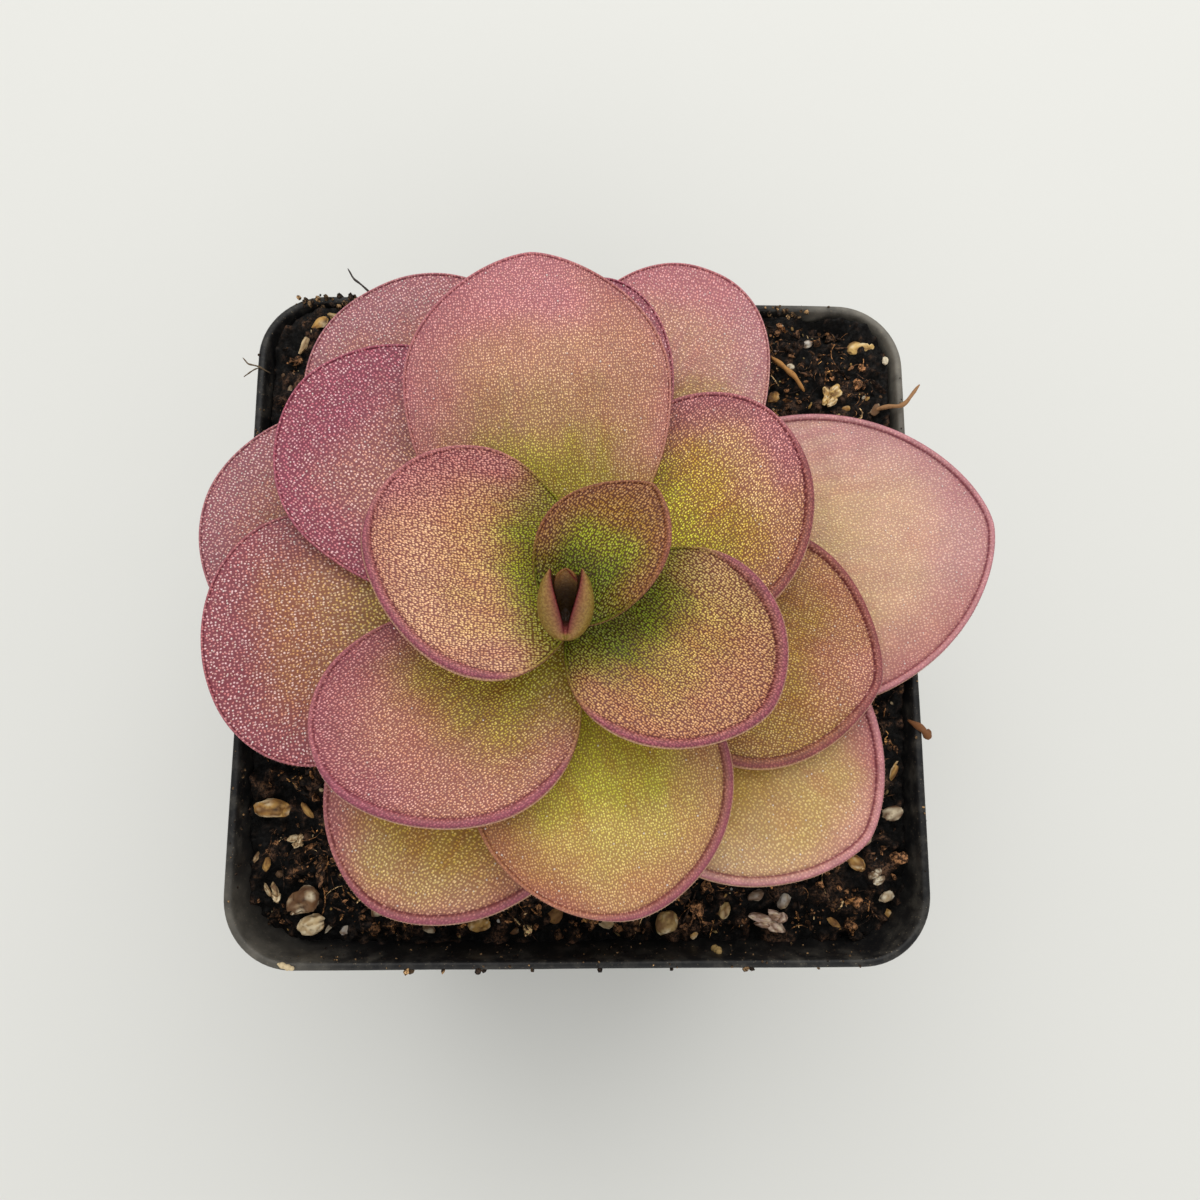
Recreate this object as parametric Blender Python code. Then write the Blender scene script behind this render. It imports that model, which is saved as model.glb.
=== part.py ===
"""A butterwort rosette in a square nursery pot, as closed solids for a parts library.

The pot stands on z = 0 with its axis on x = y = 0. +Y is the far side of the pot, +X the right side.
Dimensions are in millimetres and become metres when a mesh is made.
"""

import math
from collections import namedtuple

import bmesh
import bpy
from mathutils import Vector, noise
from mathutils.bvhtree import BVHTree

MM = 0.001

# Clearance between pieces that touch on the real plant
SEAT = 0.3

# Square nursery pot
POT_HEIGHT = 66.0
RIM_HALF = 38.0
RIM_CORNER = 7.7
RIM_BAND = 7.0
RIM_STEP = 0.9
BASE_HALF = 27.5
BASE_CORNER = 6.5
WALL = 1.2
LIP_WALL = 0.9
FLOOR = 1.6
DRAIN_RADIUS = 3.6
DRAIN_PLACE = 14.5

# Soil: depth of its surface below the rim at the near and far sides, how fast it falls off
# towards the near side, and its lumps
SOIL_NEAR = 6.5
SOIL_FAR = 1.4
SOIL_FALL_POWER = 6.0
SOIL_LUMP = 0.8
SOIL_LUMP_LENGTH = 6.0
SOIL_RINGS = (0.94, 0.87, 0.79, 0.71, 0.62, 0.53, 0.43, 0.33, 0.24, 0.16)
SOIL_CORNER_STEPS = 4
SOIL_SIDE_STEPS = 9

# Loose chips of bark and perlite on the soil: place, size and turn in degrees
Chip = namedtuple("Chip", "x y length width height turn colour")
CHIPS = (
    Chip(33.3, 33.0, 3.2, 1.9, 1.4, 15, "bark"),
    Chip(29.6, 27.0, 2.8, 2.4, 1.2, 60, "perlite"),
    Chip(21.3, -33.8, 4.4, 2.6, 1.8, -15, "perlite"),
    Chip(-33.9, -21.4, 3.8, 2.0, 1.3, -5, "bark"),
    Chip(-31.2, -24.8, 1.9, 1.7, 1.0, 30, "perlite"),
    Chip(-30.4, -31.4, 3.4, 2.8, 1.6, 40, "bark"),
    Chip(-29.6, -34.0, 3.0, 2.0, 1.3, 20, "bark"),
    Chip(-33.9, -30.4, 2.4, 1.8, 1.1, -50, "perlite"),
    Chip(33.2, -28.8, 2.8, 1.8, 1.3, 50, "perlite"),
    Chip(30.8, -27.4, 2.6, 1.4, 0.9, -35, "bark"),
    Chip(9.5, -33.9, 2.7, 2.2, 1.4, 70, "bark"),
    Chip(-11.2, -34.0, 2.4, 1.6, 1.0, 10, "bark"),
)
CHIP_ROUGHNESS = 0.22

# Crown: the short stem that the leaves grow from
CROWN_X = -2.0
CROWN_SINK = 9.0
CROWN_TOP = 10.2
CROWN_PROFILE = ((0.0, 2.6), (0.22, 3.2), (0.4, 2.1), (0.94, 2.1), (0.98, 1.6), (1.0, 1.0))
CROWN_SIDES = 20

# Leaf blades
BLADE_EDGE = 0.9
BLADE_MIDDLE = 1.7
RISE_POWER = 1.6
LEAF_SIDES = 28
SMALL_LEAF_SIDES = 24
BLADE_RINGS = (0.4, 0.7, 0.88)
UNDER_RINGS = (0.88, 0.5)

# One row for each leaf, youngest first. azimuth is the way it points, in degrees from +X. The
# plan has its widest point and its tip at widest and reach from the crown's axis, and starts at
# start. offset and bend move its midline sideways. tip and base powers of 1 are elliptic, and
# larger ones come to more of a point. Heights are those of the blade's middle over the pot's
# rim. cup lifts the margins. roll is the width of the rolled rim.
Leaf = namedtuple("Leaf", "azimuth offset start widest reach width tip_power base_power bend "
                          "base_height tip_height cup roll")
LEAVES = (
    Leaf(61, -1.0, -3.0, 4.5, 12.5, 12.0, 1.45, 1.2, -1.5, 15.0, 18.0, 2.5, 0.7),
    Leaf(183, -2.5, -2.5, 8.0, 19.5, 23.0, 1.15, 1.25, -3.0, 12.75, 15.0, 2.0, 1.3),
    Leaf(-41, 2.5, 0.5, 11.0, 22.5, 21.0, 1.2, 1.2, 1.5, 11.0, 15.0, 2.0, 1.3),
    Leaf(94, 1.5, 2.0, 22.0, 36.5, 27.5, 1.3, 1.25, 0.0, 10.25, 13.0, 1.0, 0.7),
    Leaf(-129, 0.5, 2.5, 17.0, 29.0, 24.0, 1.15, 1.4, -5.0, 9.5, 11.0, 1.5, 1.3),
    Leaf(36, -1.5, 2.0, 16.5, 30.0, 24.0, 1.0, 1.3, 2.5, 8.5, 10.0, 0.5, 1.3),
    Leaf(140, 0.0, 2.5, 23.5, 36.5, 25.0, 1.1, 1.4, 0.0, 8.0, 9.0, 0.5, 0.6),
    Leaf(-77, -0.5, 2.5, 18.5, 32.5, 26.5, 1.15, 1.3, 0.5, 7.25, 8.0, 1.0, 1.3),
    Leaf(83, 0.0, 2.5, 24.0, 37.0, 17.5, 1.05, 1.3, 0.0, 6.25, 7.5, 0.0, 0.5),
    Leaf(-172, 0.0, 2.5, 26.5, 37.5, 26.5, 0.95, 1.3, 0.0, 5.75, 7.5, 0.0, 0.6),
    Leaf(-15, 1.5, 2.0, 21.0, 34.5, 26.0, 1.35, 1.3, -0.5, 4.75, 6.0, 0.5, 1.3),
    Leaf(122, 0.0, 2.5, 25.0, 42.0, 29.5, 0.9, 1.3, 0.0, 4.25, 5.5, 0.25, 0.5),
    Leaf(-122, 1.0, 2.5, 21.0, 37.0, 27.5, 1.15, 1.3, -1.0, 4.5, 3.0, 1.0, 1.2),
    Leaf(69, 0.0, 2.5, 25.5, 43.5, 25.0, 0.85, 1.3, -1.0, 2.75, 3.0, 0.25, 0.6),
    Leaf(-37, 0.0, 2.5, 23.5, 40.5, 29.5, 1.25, 1.3, 0.0, 2.0, 3.5, 0.0, 1.3),
    Leaf(163, 0.0, 2.5, 25.0, 41.5, 30.0, 1.05, 1.3, -0.5, 1.25, 2.5, 0.5, 0.5),
    Leaf(10, 1.5, 2.0, 28.0, 50.0, 34.0, 1.2, 1.3, 0.5, 0.0, 1.5, 0.0, 1.1),
)

# Bud: a folded young leaf, open towards +Y, and the smaller one inside it
BUD_X = -2.0
BUD_Y = -1.8
BUD_FLOOR = 17.1
BUD_SLOPE = 0.18
BUD_HEIGHT = 4.2
BUD_HALF_WIDTH = 2.65
BUD_NEAR = -3.5
BUD_FAR = 2.7
BUD_WALL = 1.0
BUD_SLOT = 1.35
BUD_STATIONS = 9
TONGUE_HALF_WIDTH = 0.95
TONGUE_WALL = 0.7

# Colours, roughness and metallic value of the materials
FINISHES = {
    "black_plastic": ((0.015, 0.016, 0.016), 0.45, 0.0),
    "peat_soil": ((0.022, 0.014, 0.010), 0.95, 0.0),
    "bark": ((0.30, 0.19, 0.08), 0.85, 0.0),
    "perlite": ((0.55, 0.47, 0.36), 0.85, 0.0),
    "crown_green": ((0.16, 0.24, 0.03), 0.5, 0.0),
    "young_leaf": ((0.22, 0.25, 0.06), 0.45, 0.0),
    "inner_leaf": ((0.38, 0.30, 0.10), 0.42, 0.0),
    "middle_leaf": ((0.45, 0.26, 0.14), 0.42, 0.0),
    "outer_leaf": ((0.48, 0.22, 0.18), 0.42, 0.0),
    "bud_tan": ((0.36, 0.22, 0.10), 0.5, 0.0),
}


def clear_scene():
    for item in list(bpy.data.objects):
        bpy.data.objects.remove(item, do_unlink=True)


def make_material(name):
    colour, roughness, metallic = FINISHES[name]
    material = bpy.data.materials.new(name)
    material.use_nodes = True
    shader = material.node_tree.nodes["Principled BSDF"]
    shader.inputs["Base Color"].default_value = (*colour, 1.0)
    shader.inputs["Roughness"].default_value = roughness
    shader.inputs["Metallic"].default_value = metallic
    return material


def add_object(name, points, faces, material, parent):
    """A mesh object from points in millimetres, with its faces turned outwards."""
    mesh = bpy.data.meshes.new(name)
    mesh.from_pydata([Vector(p) * MM for p in points], [], faces)
    work = bmesh.new()
    work.from_mesh(mesh)
    bmesh.ops.triangulate(work, faces=[f for f in work.faces if len(f.verts) > 4])
    bmesh.ops.recalc_face_normals(work, faces=work.faces)
    work.to_mesh(mesh)
    work.free()
    mesh.materials.append(material)
    item = bpy.data.objects.new(name, mesh)
    bpy.context.scene.collection.objects.link(item)
    item.parent = parent
    return item


def blend(low, high, value):
    """Smooth step from 0 at low to 1 at high."""
    t = min(max((value - low) / (high - low), 0.0), 1.0)
    return t * t * (3.0 - 2.0 * t)


def bridge(ring_a, ring_b, split=False):
    """Faces between two rings of point numbers, as quads or as triangles."""
    faces = []
    count = len(ring_a)
    for i in range(count):
        j = (i + 1) % count
        quad = (ring_a[i], ring_a[j], ring_b[j], ring_b[i])
        if split:
            faces.append((quad[0], quad[1], quad[2]))
            faces.append((quad[0], quad[2], quad[3]))
        else:
            faces.append(quad)
    return faces


def fan(centre, ring):
    """Triangles from one point to a ring."""
    return [(centre, ring[i], ring[(i + 1) % len(ring)]) for i in range(len(ring))]


def ring_numbers(first, count):
    return list(range(first, first + count))


def square_ring(half, corner, z, corner_steps=6, side_steps=1):
    """A square with round corners, counter-clockwise. Its straight sides can be divided."""
    points = []
    flat = half - corner
    for quarter in range(4):
        turn = math.radians(90 * quarter)
        outline = []
        for step in range(corner_steps + 1):
            angle = math.radians(90 * step / corner_steps)
            outline.append((flat + corner * math.cos(angle), flat + corner * math.sin(angle)))
        for step in range(1, side_steps):
            outline.append((flat - 2.0 * flat * step / side_steps, half))
        for x, y in outline:
            points.append((x * math.cos(turn) - y * math.sin(turn),
                           x * math.sin(turn) + y * math.cos(turn), z))
    return points


def wall_half(z):
    """Half the pot's inside width at a height."""
    share = (z - FLOOR) / (POT_HEIGHT - FLOOR)
    low = BASE_HALF - WALL
    high = RIM_HALF - LIP_WALL
    return low + (high - low) * share


def wall_corner(z):
    """The inside corner radius at a height."""
    share = (z - FLOOR) / (POT_HEIGHT - FLOOR)
    return BASE_CORNER - WALL + (RIM_CORNER - LIP_WALL - BASE_CORNER + WALL) * share


def build_pot(material, parent):
    """A thin tapered tub with a band below its rim and drain holes in its flat floor."""
    band = POT_HEIGHT - RIM_BAND
    under_band = wall_half(band) + WALL
    rings = [
        square_ring(BASE_HALF - 1.0, BASE_CORNER - 1.0, 0.0),
        square_ring(BASE_HALF, BASE_CORNER, 1.0),
        square_ring(under_band, RIM_CORNER - 1.0, band - RIM_STEP),
        square_ring(RIM_HALF - 0.3, RIM_CORNER, band),
        square_ring(RIM_HALF, RIM_CORNER, POT_HEIGHT - 0.4),
        square_ring(RIM_HALF - 0.3, RIM_CORNER - 0.3, POT_HEIGHT),
        square_ring(wall_half(POT_HEIGHT) + 0.2, wall_corner(POT_HEIGHT), POT_HEIGHT),
        square_ring(wall_half(POT_HEIGHT - 0.4), wall_corner(POT_HEIGHT), POT_HEIGHT - 0.4),
        square_ring(wall_half(band), wall_corner(band), band),
        square_ring(wall_half(FLOOR), wall_corner(FLOOR), FLOOR),
    ]
    count = len(rings[0])
    points = [p for ring in rings for p in ring]
    numbers = [ring_numbers(count * i, count) for i in range(len(rings))]
    faces = []
    for lower, upper in zip(numbers, numbers[1:]):
        faces += bridge(lower, upper)
    faces.append(tuple(reversed(numbers[0])))
    faces.append(tuple(numbers[-1]))
    pot = add_object("pot", points, faces, material, parent)
    for x in (-DRAIN_PLACE, DRAIN_PLACE):
        for y in (-DRAIN_PLACE, DRAIN_PLACE):
            cut_drain(pot, x, y)
    return pot


def cut_drain(pot, x, y):
    """One round drain hole through the pot's floor."""
    bpy.ops.mesh.primitive_cylinder_add(vertices=16, radius=DRAIN_RADIUS * MM, depth=8 * MM,
                                        location=(x * MM, y * MM, 0.0))
    cutter = bpy.context.object
    cutter.hide_render = True
    cutter.display_type = "WIRE"
    cut = pot.modifiers.new("drain", "BOOLEAN")
    cut.operation = "DIFFERENCE"
    cut.object = cutter
    bpy.context.view_layer.objects.active = pot
    bpy.ops.object.modifier_apply(modifier=cut.name)
    bpy.data.objects.remove(cutter, do_unlink=True)


def soil_height(x, y):
    """Height of the soil's surface: a slope down to the near side, with lumps."""
    share = 0.5 + 0.5 * y / RIM_HALF
    depth = SOIL_FAR + (SOIL_NEAR - SOIL_FAR) * (1.0 - min(max(share, 0.0), 1.0)) ** SOIL_FALL_POWER
    spot = Vector((x, y, 0.0)) / SOIL_LUMP_LENGTH
    lump = noise.noise(spot) + 0.5 * noise.noise(spot * 2.3 + Vector((7.0, 3.0, 1.0)))
    # The soil stays low around the crown, under the lowest leaves
    near_crown = 1.0 - blend(8.0, 22.0, math.hypot(x - CROWN_X, y))
    return POT_HEIGHT - depth + SOIL_LUMP * lump - 1.2 * near_crown


def soil_wall_point(index, z):
    """One point of the soil's side, just inside the pot's wall."""
    ring = square_ring(wall_half(z) - SEAT, wall_corner(z), z, SOIL_CORNER_STEPS, SOIL_SIDE_STEPS)
    return ring[index]


def build_soil(material, parent):
    """The soil fills the pot to its walls, with a plain hole for the crown."""
    count = len(square_ring(1.0, 0.1, 0.0, SOIL_CORNER_STEPS, SOIL_SIDE_STEPS))
    low = FLOOR + SEAT
    hole_bottom = POT_HEIGHT - CROWN_SINK - SEAT
    hole = max(radius for share, radius in CROWN_PROFILE) + SEAT
    edge = []
    for i in range(count):
        x, y, _ = soil_wall_point(i, POT_HEIGHT - 3.0)
        edge.append(soil_wall_point(i, soil_height(x, y) - 0.2))
    levels = [[soil_wall_point(i, low) for i in range(count)],
              [soil_wall_point(i, POT_HEIGHT - 14.0) for i in range(count)],
              edge]
    for share in SOIL_RINGS:
        level = []
        for x, y, _ in edge:
            px = CROWN_X + (x - CROWN_X) * share
            py = y * share
            level.append((px, py, soil_height(px, py)))
        levels.append(level)
    mouth = []
    for x, y, _ in edge:
        away = Vector((x - CROWN_X, y)).normalized() * hole
        mouth.append((CROWN_X + away.x, away.y))
    levels.append([(x, y, soil_height(x, y)) for x, y in mouth])
    levels.append([(x, y, hole_bottom) for x, y in mouth])
    points = [p for level in levels for p in level]
    rings = [ring_numbers(count * i, count) for i in range(len(levels))]
    faces = []
    for lower, upper in zip(rings, rings[1:]):
        faces += bridge(lower, upper, split=True)
    faces.append(tuple(reversed(rings[0])))
    faces.append(tuple(rings[-1]))
    return add_object("soil", points, faces, material, parent)


def build_chip(name, chip, seed, soil, material, parent):
    """A loose angular chip, laid on the soil with the seat's gap."""
    work = bmesh.new()
    bmesh.ops.create_icosphere(work, subdivisions=2, radius=1.0)
    points = [v.co.copy() for v in work.verts]
    faces = [tuple(v.index for v in f.verts) for f in work.faces]
    work.free()
    turn = math.radians(chip.turn)
    shaped = []
    for point in points:
        rough = 1.0 + CHIP_ROUGHNESS * noise.noise(point * 1.7 + Vector((seed * 3.1, 0.0, 0.0)))
        x = 0.5 * chip.length * point.x * rough
        y = 0.5 * chip.width * point.y * rough
        z = 0.5 * chip.height * point.z * rough
        shaped.append(Vector((chip.x + x * math.cos(turn) - y * math.sin(turn),
                              chip.y + x * math.sin(turn) + y * math.cos(turn), z)))
    lift = -1000.0
    for point in shaped:
        hit = soil.ray_cast(Vector((point.x * MM, point.y * MM, 1.0)), Vector((0.0, 0.0, -1.0)))[0]
        lift = max(lift, hit.z / MM - point.z)
    lift += SEAT
    placed = [(p.x, p.y, p.z + lift) for p in shaped]
    return add_object(name, placed, faces, material, parent)


def build_crown(material, parent):
    """A short stem, set in the soil's hole."""
    bottom = POT_HEIGHT - CROWN_SINK
    height = CROWN_SINK + CROWN_TOP
    points = []
    rings = []
    for share, radius in CROWN_PROFILE:
        first = len(points)
        for i in range(CROWN_SIDES):
            angle = 2 * math.pi * i / CROWN_SIDES
            points.append((CROWN_X + radius * math.cos(angle), radius * math.sin(angle),
                           bottom + height * share))
        rings.append(ring_numbers(first, CROWN_SIDES))
    faces = []
    for lower, upper in zip(rings, rings[1:]):
        faces += bridge(lower, upper)
    faces.append(tuple(reversed(rings[0])))
    faces.append(tuple(rings[-1]))
    return add_object("crown", points, faces, material, parent)


def leaf_plan(leaf, rho, theta):
    """Along and across the leaf, at a share rho of the way to its edge in direction theta."""
    cosine, sine = math.cos(theta), math.sin(theta)
    if cosine > 0:
        length, power = leaf.reach - leaf.widest, leaf.tip_power
    else:
        length, power = leaf.widest - leaf.start, leaf.base_power
    along = leaf.widest + rho * length * cosine
    across = rho * 0.5 * leaf.width * math.copysign(abs(sine) ** power, sine)
    return along, across


def leaf_height(leaf, along, across):
    """Height of the blade's middle surface over the pot's rim."""
    t = min(max((along - leaf.start) / (leaf.reach - leaf.start), 0.0), 1.0)
    rise = 1.0 - (1.0 - t) ** RISE_POWER
    side = across / (0.5 * leaf.width)
    lift = side * side * min(1.0, t / 0.3) + 0.35 * max(0.0, (t - 0.6) / 0.4) ** 2
    return leaf.base_height + (leaf.tip_height - leaf.base_height) * rise + leaf.cup * lift


def leaf_point(leaf, rho, theta, lift):
    """A point of the leaf, lifted from its middle surface."""
    along, across = leaf_plan(leaf, rho, theta)
    z = POT_HEIGHT + leaf_height(leaf, along, across) + lift
    side = across + leaf.offset + leaf.bend * (along / leaf.reach) ** 2
    angle = math.radians(leaf.azimuth)
    x = CROWN_X + along * math.cos(angle) - side * math.sin(angle)
    y = along * math.sin(angle) + side * math.cos(angle)
    return (x, y, z)


def blade_half_thickness(rho):
    return 0.5 * (BLADE_EDGE + (BLADE_MIDDLE - BLADE_EDGE) * (1.0 - rho * rho))


def edge_share(leaf, theta, inset):
    """The share rho that lies inset millimetres inside the edge."""
    along, across = leaf_plan(leaf, 1.0, theta)
    return 1.0 - inset / math.hypot(along - leaf.widest, across)


def leaf_angles(leaf):
    """Even directions around the leaf's widest point."""
    count = LEAF_SIDES if leaf.width > 20 else SMALL_LEAF_SIDES
    return [2 * math.pi * i / count for i in range(count)]


def build_leaf(name, leaf, material, parent):
    """A fleshy blade with a rim that is rolled up and in, which fades out near the base."""
    angles = leaf_angles(leaf)
    points = [leaf_point(leaf, 0.0, 0.0, blade_half_thickness(0.0))]
    rings = []

    def add_ring(inset, share, level):
        first = len(points)
        for theta in angles:
            along, _ = leaf_plan(leaf, 1.0, theta)
            t = (along - leaf.start) / (leaf.reach - leaf.start)
            roll = max(0.3, leaf.roll * min(max((t - 0.1) / 0.3, 0.0), 1.0))
            rho = edge_share(leaf, theta, inset * roll) if share is None else share
            lift = level(roll, blade_half_thickness(rho))
            points.append(leaf_point(leaf, rho, theta, lift))
        rings.append(ring_numbers(first, len(angles)))

    for share in BLADE_RINGS:
        add_ring(0.0, share * edge_share(leaf, 0.5 * math.pi, 1.3 * leaf.roll),
                 lambda roll, half: half)
    add_ring(1.15, None, lambda roll, half: half - 0.08)
    add_ring(1.0, None, lambda roll, half: half + 0.42 * roll)
    add_ring(0.4, None, lambda roll, half: half + 0.5 * roll)
    add_ring(0.0, None, lambda roll, half: 0.15 * roll)
    add_ring(0.45, None, lambda roll, half: -half)
    for share in UNDER_RINGS:
        add_ring(0.0, share, lambda roll, half: -half)
    points.append(leaf_point(leaf, 0.0, 0.0, -blade_half_thickness(0.0)))
    faces = fan(0, rings[0])
    for inner, outer in zip(rings, rings[1:]):
        faces += bridge(inner, outer, split=True)
    faces += fan(len(points) - 1, list(reversed(rings[-1])))
    return add_object(name, points, faces, material, parent)


def bud_section(share):
    """Half width, slot half width and top height of the folded leaf, from its near tip."""
    round_off = math.sqrt(max(0.0, 1.0 - (1.0 - min(share / 0.55, 1.0)) ** 2))
    draw_in = 1.0 - 0.3 * blend(0.55, 1.0, share)
    half = BUD_HALF_WIDTH * max(0.08, round_off) * draw_in
    slot = min(BUD_SLOT * blend(-0.15, 1.0, share) + 0.05, half - BUD_WALL * 0.5)
    top = BUD_HEIGHT * (0.62 + 0.38 * blend(0.0, 0.6, share))
    return half, slot, top


def build_bud(material, parent):
    """The folded leaf: a trough with its lips turned in, closed at its near tip."""
    points = []
    rings = []
    for i in range(BUD_STATIONS):
        share = i / (BUD_STATIONS - 1)
        y = BUD_Y + BUD_NEAR + (BUD_FAR - BUD_NEAR) * share
        level = POT_HEIGHT + BUD_FLOOR + BUD_SLOPE * y
        half, slot, top = bud_section(share)
        slot = max(slot, 0.06)
        depth = 0.25 + (top - BUD_WALL - 0.25) * blend(0.0, 0.35, share)
        floor_lift = (1.0 - blend(0.0, 0.45, share)) * 1.6
        profile = [
            (0.0, floor_lift), (0.55 * half, floor_lift + 0.1), (0.95 * half, floor_lift + 0.28 * top),
            (half, 0.62 * top), (0.82 * half, 0.9 * top), (0.5 * (half + slot), top),
            (slot, 0.97 * top), (slot, 0.97 * top - 0.4 * depth), (slot * 0.8, top - depth),
            (0.0, top - depth - 0.05),
        ]
        right = [(x, z) for x, z in profile]
        left = [(-x, z) for x, z in reversed(profile[1:-1])]
        first = len(points)
        for x, z in right + left:
            points.append((BUD_X + x, y, level + z))
        rings.append(ring_numbers(first, len(right) + len(left)))
    faces = []
    for near, far in zip(rings, rings[1:]):
        faces += bridge(near, far, split=True)
    for ring in (rings[0], rings[-1]):
        faces += strip_cap(ring)
    return add_object("bud", points, faces, material, parent)


def strip_cap(ring):
    """Faces across an end section whose floor and slot points pair up from side to side."""
    half = len(ring) // 2
    right = ring[:half + 1]
    left = [ring[0]] + list(reversed(ring[half:]))
    faces = []
    middle = len(right) // 2
    for side in (right, left):
        lower = side[:middle + 1]
        upper = list(reversed(side[middle:]))
        faces.append((lower[0], lower[1], upper[0]))
        for i in range(1, len(lower) - 1):
            faces.append((lower[i], lower[i + 1], upper[i]))
            faces.append((lower[i], upper[i], upper[i - 1]))
    return faces


def build_tongue(material, parent):
    """The smaller leaf inside the bud: a curved blade that leans back out of the slot."""
    stations = ((0.6, 1.7, 0.55), (1.2, 2.5, 0.8), (1.8, 3.3, 0.95), (2.5, 3.9, 1.0), (3.0, 4.2, 0.35))
    points = []
    rings = []
    for y, z, share in stations:
        half = TONGUE_HALF_WIDTH * share
        lip = 0.25 * share
        level = POT_HEIGHT + BUD_FLOOR + BUD_SLOPE * (BUD_Y + y)
        section = [(-half, lip), (-0.5 * half, 0.0), (0.5 * half, 0.0), (half, lip)]
        first = len(points)
        for x, dz in section:
            points.append((BUD_X + x, BUD_Y + y, level + z + dz))
        for x, dz in reversed(section):
            points.append((BUD_X + x, BUD_Y + y + 0.55 * TONGUE_WALL,
                           level + z + dz - 0.7 * TONGUE_WALL))
        rings.append(ring_numbers(first, 8))
    faces = []
    for near, far in zip(rings, rings[1:]):
        faces += bridge(near, far, split=True)
    for ring in (rings[0], rings[-1]):
        for i in range(3):
            faces.append((ring[i], ring[i + 1], ring[6 - i], ring[7 - i]))
    return add_object("bud_inner", points, faces, material, parent)


def leaf_material(number, materials):
    if number == 1:
        return materials["young_leaf"]
    if number <= 3:
        return materials["inner_leaf"]
    return materials["middle_leaf"] if number <= 11 else materials["outer_leaf"]


def main():
    clear_scene()
    plant = bpy.data.objects.new("butterwort", None)
    bpy.context.scene.collection.objects.link(plant)
    materials = {name: make_material(name) for name in FINISHES}
    build_pot(materials["black_plastic"], plant)
    soil = build_soil(materials["peat_soil"], plant)
    corners = [v.co for v in soil.data.vertices]
    sheet = BVHTree.FromPolygons(corners, [tuple(f.vertices) for f in soil.data.polygons])
    for number, chip in enumerate(CHIPS, start=1):
        build_chip(f"chip_{number:02d}", chip, number, sheet, materials[chip.colour], plant)
    build_crown(materials["crown_green"], plant)
    for number, leaf in enumerate(LEAVES, start=1):
        build_leaf(f"leaf_{number:02d}", leaf, leaf_material(number, materials), plant)
    build_bud(materials["bud_tan"], plant)
    build_tongue(materials["bud_tan"], plant)


main()
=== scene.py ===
import math
from collections import namedtuple

import bmesh
import bpy
import numpy as np
from mathutils import Matrix, Vector, noise


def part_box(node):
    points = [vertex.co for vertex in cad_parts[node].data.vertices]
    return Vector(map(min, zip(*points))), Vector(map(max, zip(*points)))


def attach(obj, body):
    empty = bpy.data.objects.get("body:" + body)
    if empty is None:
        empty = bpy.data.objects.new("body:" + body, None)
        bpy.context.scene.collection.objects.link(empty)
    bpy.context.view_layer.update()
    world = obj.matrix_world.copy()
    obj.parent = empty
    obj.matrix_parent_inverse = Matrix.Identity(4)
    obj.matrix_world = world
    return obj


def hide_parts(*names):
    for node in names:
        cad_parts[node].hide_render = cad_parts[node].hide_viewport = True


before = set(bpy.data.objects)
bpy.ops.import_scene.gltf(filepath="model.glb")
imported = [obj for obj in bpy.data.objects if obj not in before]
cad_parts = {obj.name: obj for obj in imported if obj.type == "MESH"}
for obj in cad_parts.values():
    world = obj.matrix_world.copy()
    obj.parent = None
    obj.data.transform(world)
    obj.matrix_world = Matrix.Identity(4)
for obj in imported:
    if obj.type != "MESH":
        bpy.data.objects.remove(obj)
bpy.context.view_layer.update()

MM = 0.001
RNG_SEED = 4817

# Dimensions of the solids that the finer pieces follow, in millimetres
POT_HEIGHT = 66.0
RIM_HALF = 38.0
RIM_CORNER = 7.7
RIM_BAND = 7.0
RIM_STEP = 0.9
BASE_HALF = 27.5
BASE_CORNER = 6.5
WALL = 1.2
LIP_WALL = 0.9
FLOOR = 1.6
DRAIN_RADIUS = 3.6
DRAIN_PLACE = 14.5
SEAT = 0.3
SOIL_NEAR = 6.5
SOIL_FAR = 1.4
SOIL_FALL_POWER = 6.0
SOIL_LUMP = 0.8
SOIL_LUMP_LENGTH = 6.0
CROWN_X = -2.0
BLADE_EDGE = 0.9
BLADE_MIDDLE = 1.7
RISE_POWER = 1.6
BUD_X = -2.0
BUD_Y = -1.8
BUD_FLOOR = 17.1
BUD_SLOPE = 0.18
BUD_HEIGHT = 4.2
BUD_HALF_WIDTH = 2.65
BUD_NEAR = -3.5
BUD_FAR = 2.7
BUD_WALL = 1.0
BUD_SLOT = 1.35
TONGUE_WALL = 0.7

# The light's colour and strength from all round. The camera's lens and sensor in millimetres, its
# place, and its axes, all found from the pot's outline in the photograph.
SKY_COLOUR = (1.0, 1.0, 0.985, 1.0)
SKY_STRENGTH = 0.73
LENS = 28.95
SENSOR_WIDTH = 36.0
CAMERA_PLACE = (-2.2, -16.9, 173.3)
CAMERA_FORWARD = (0.0377, 0.171, -0.9845)
CAMERA_RIGHT = (0.9993, 0.0015, 0.0385)

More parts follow.
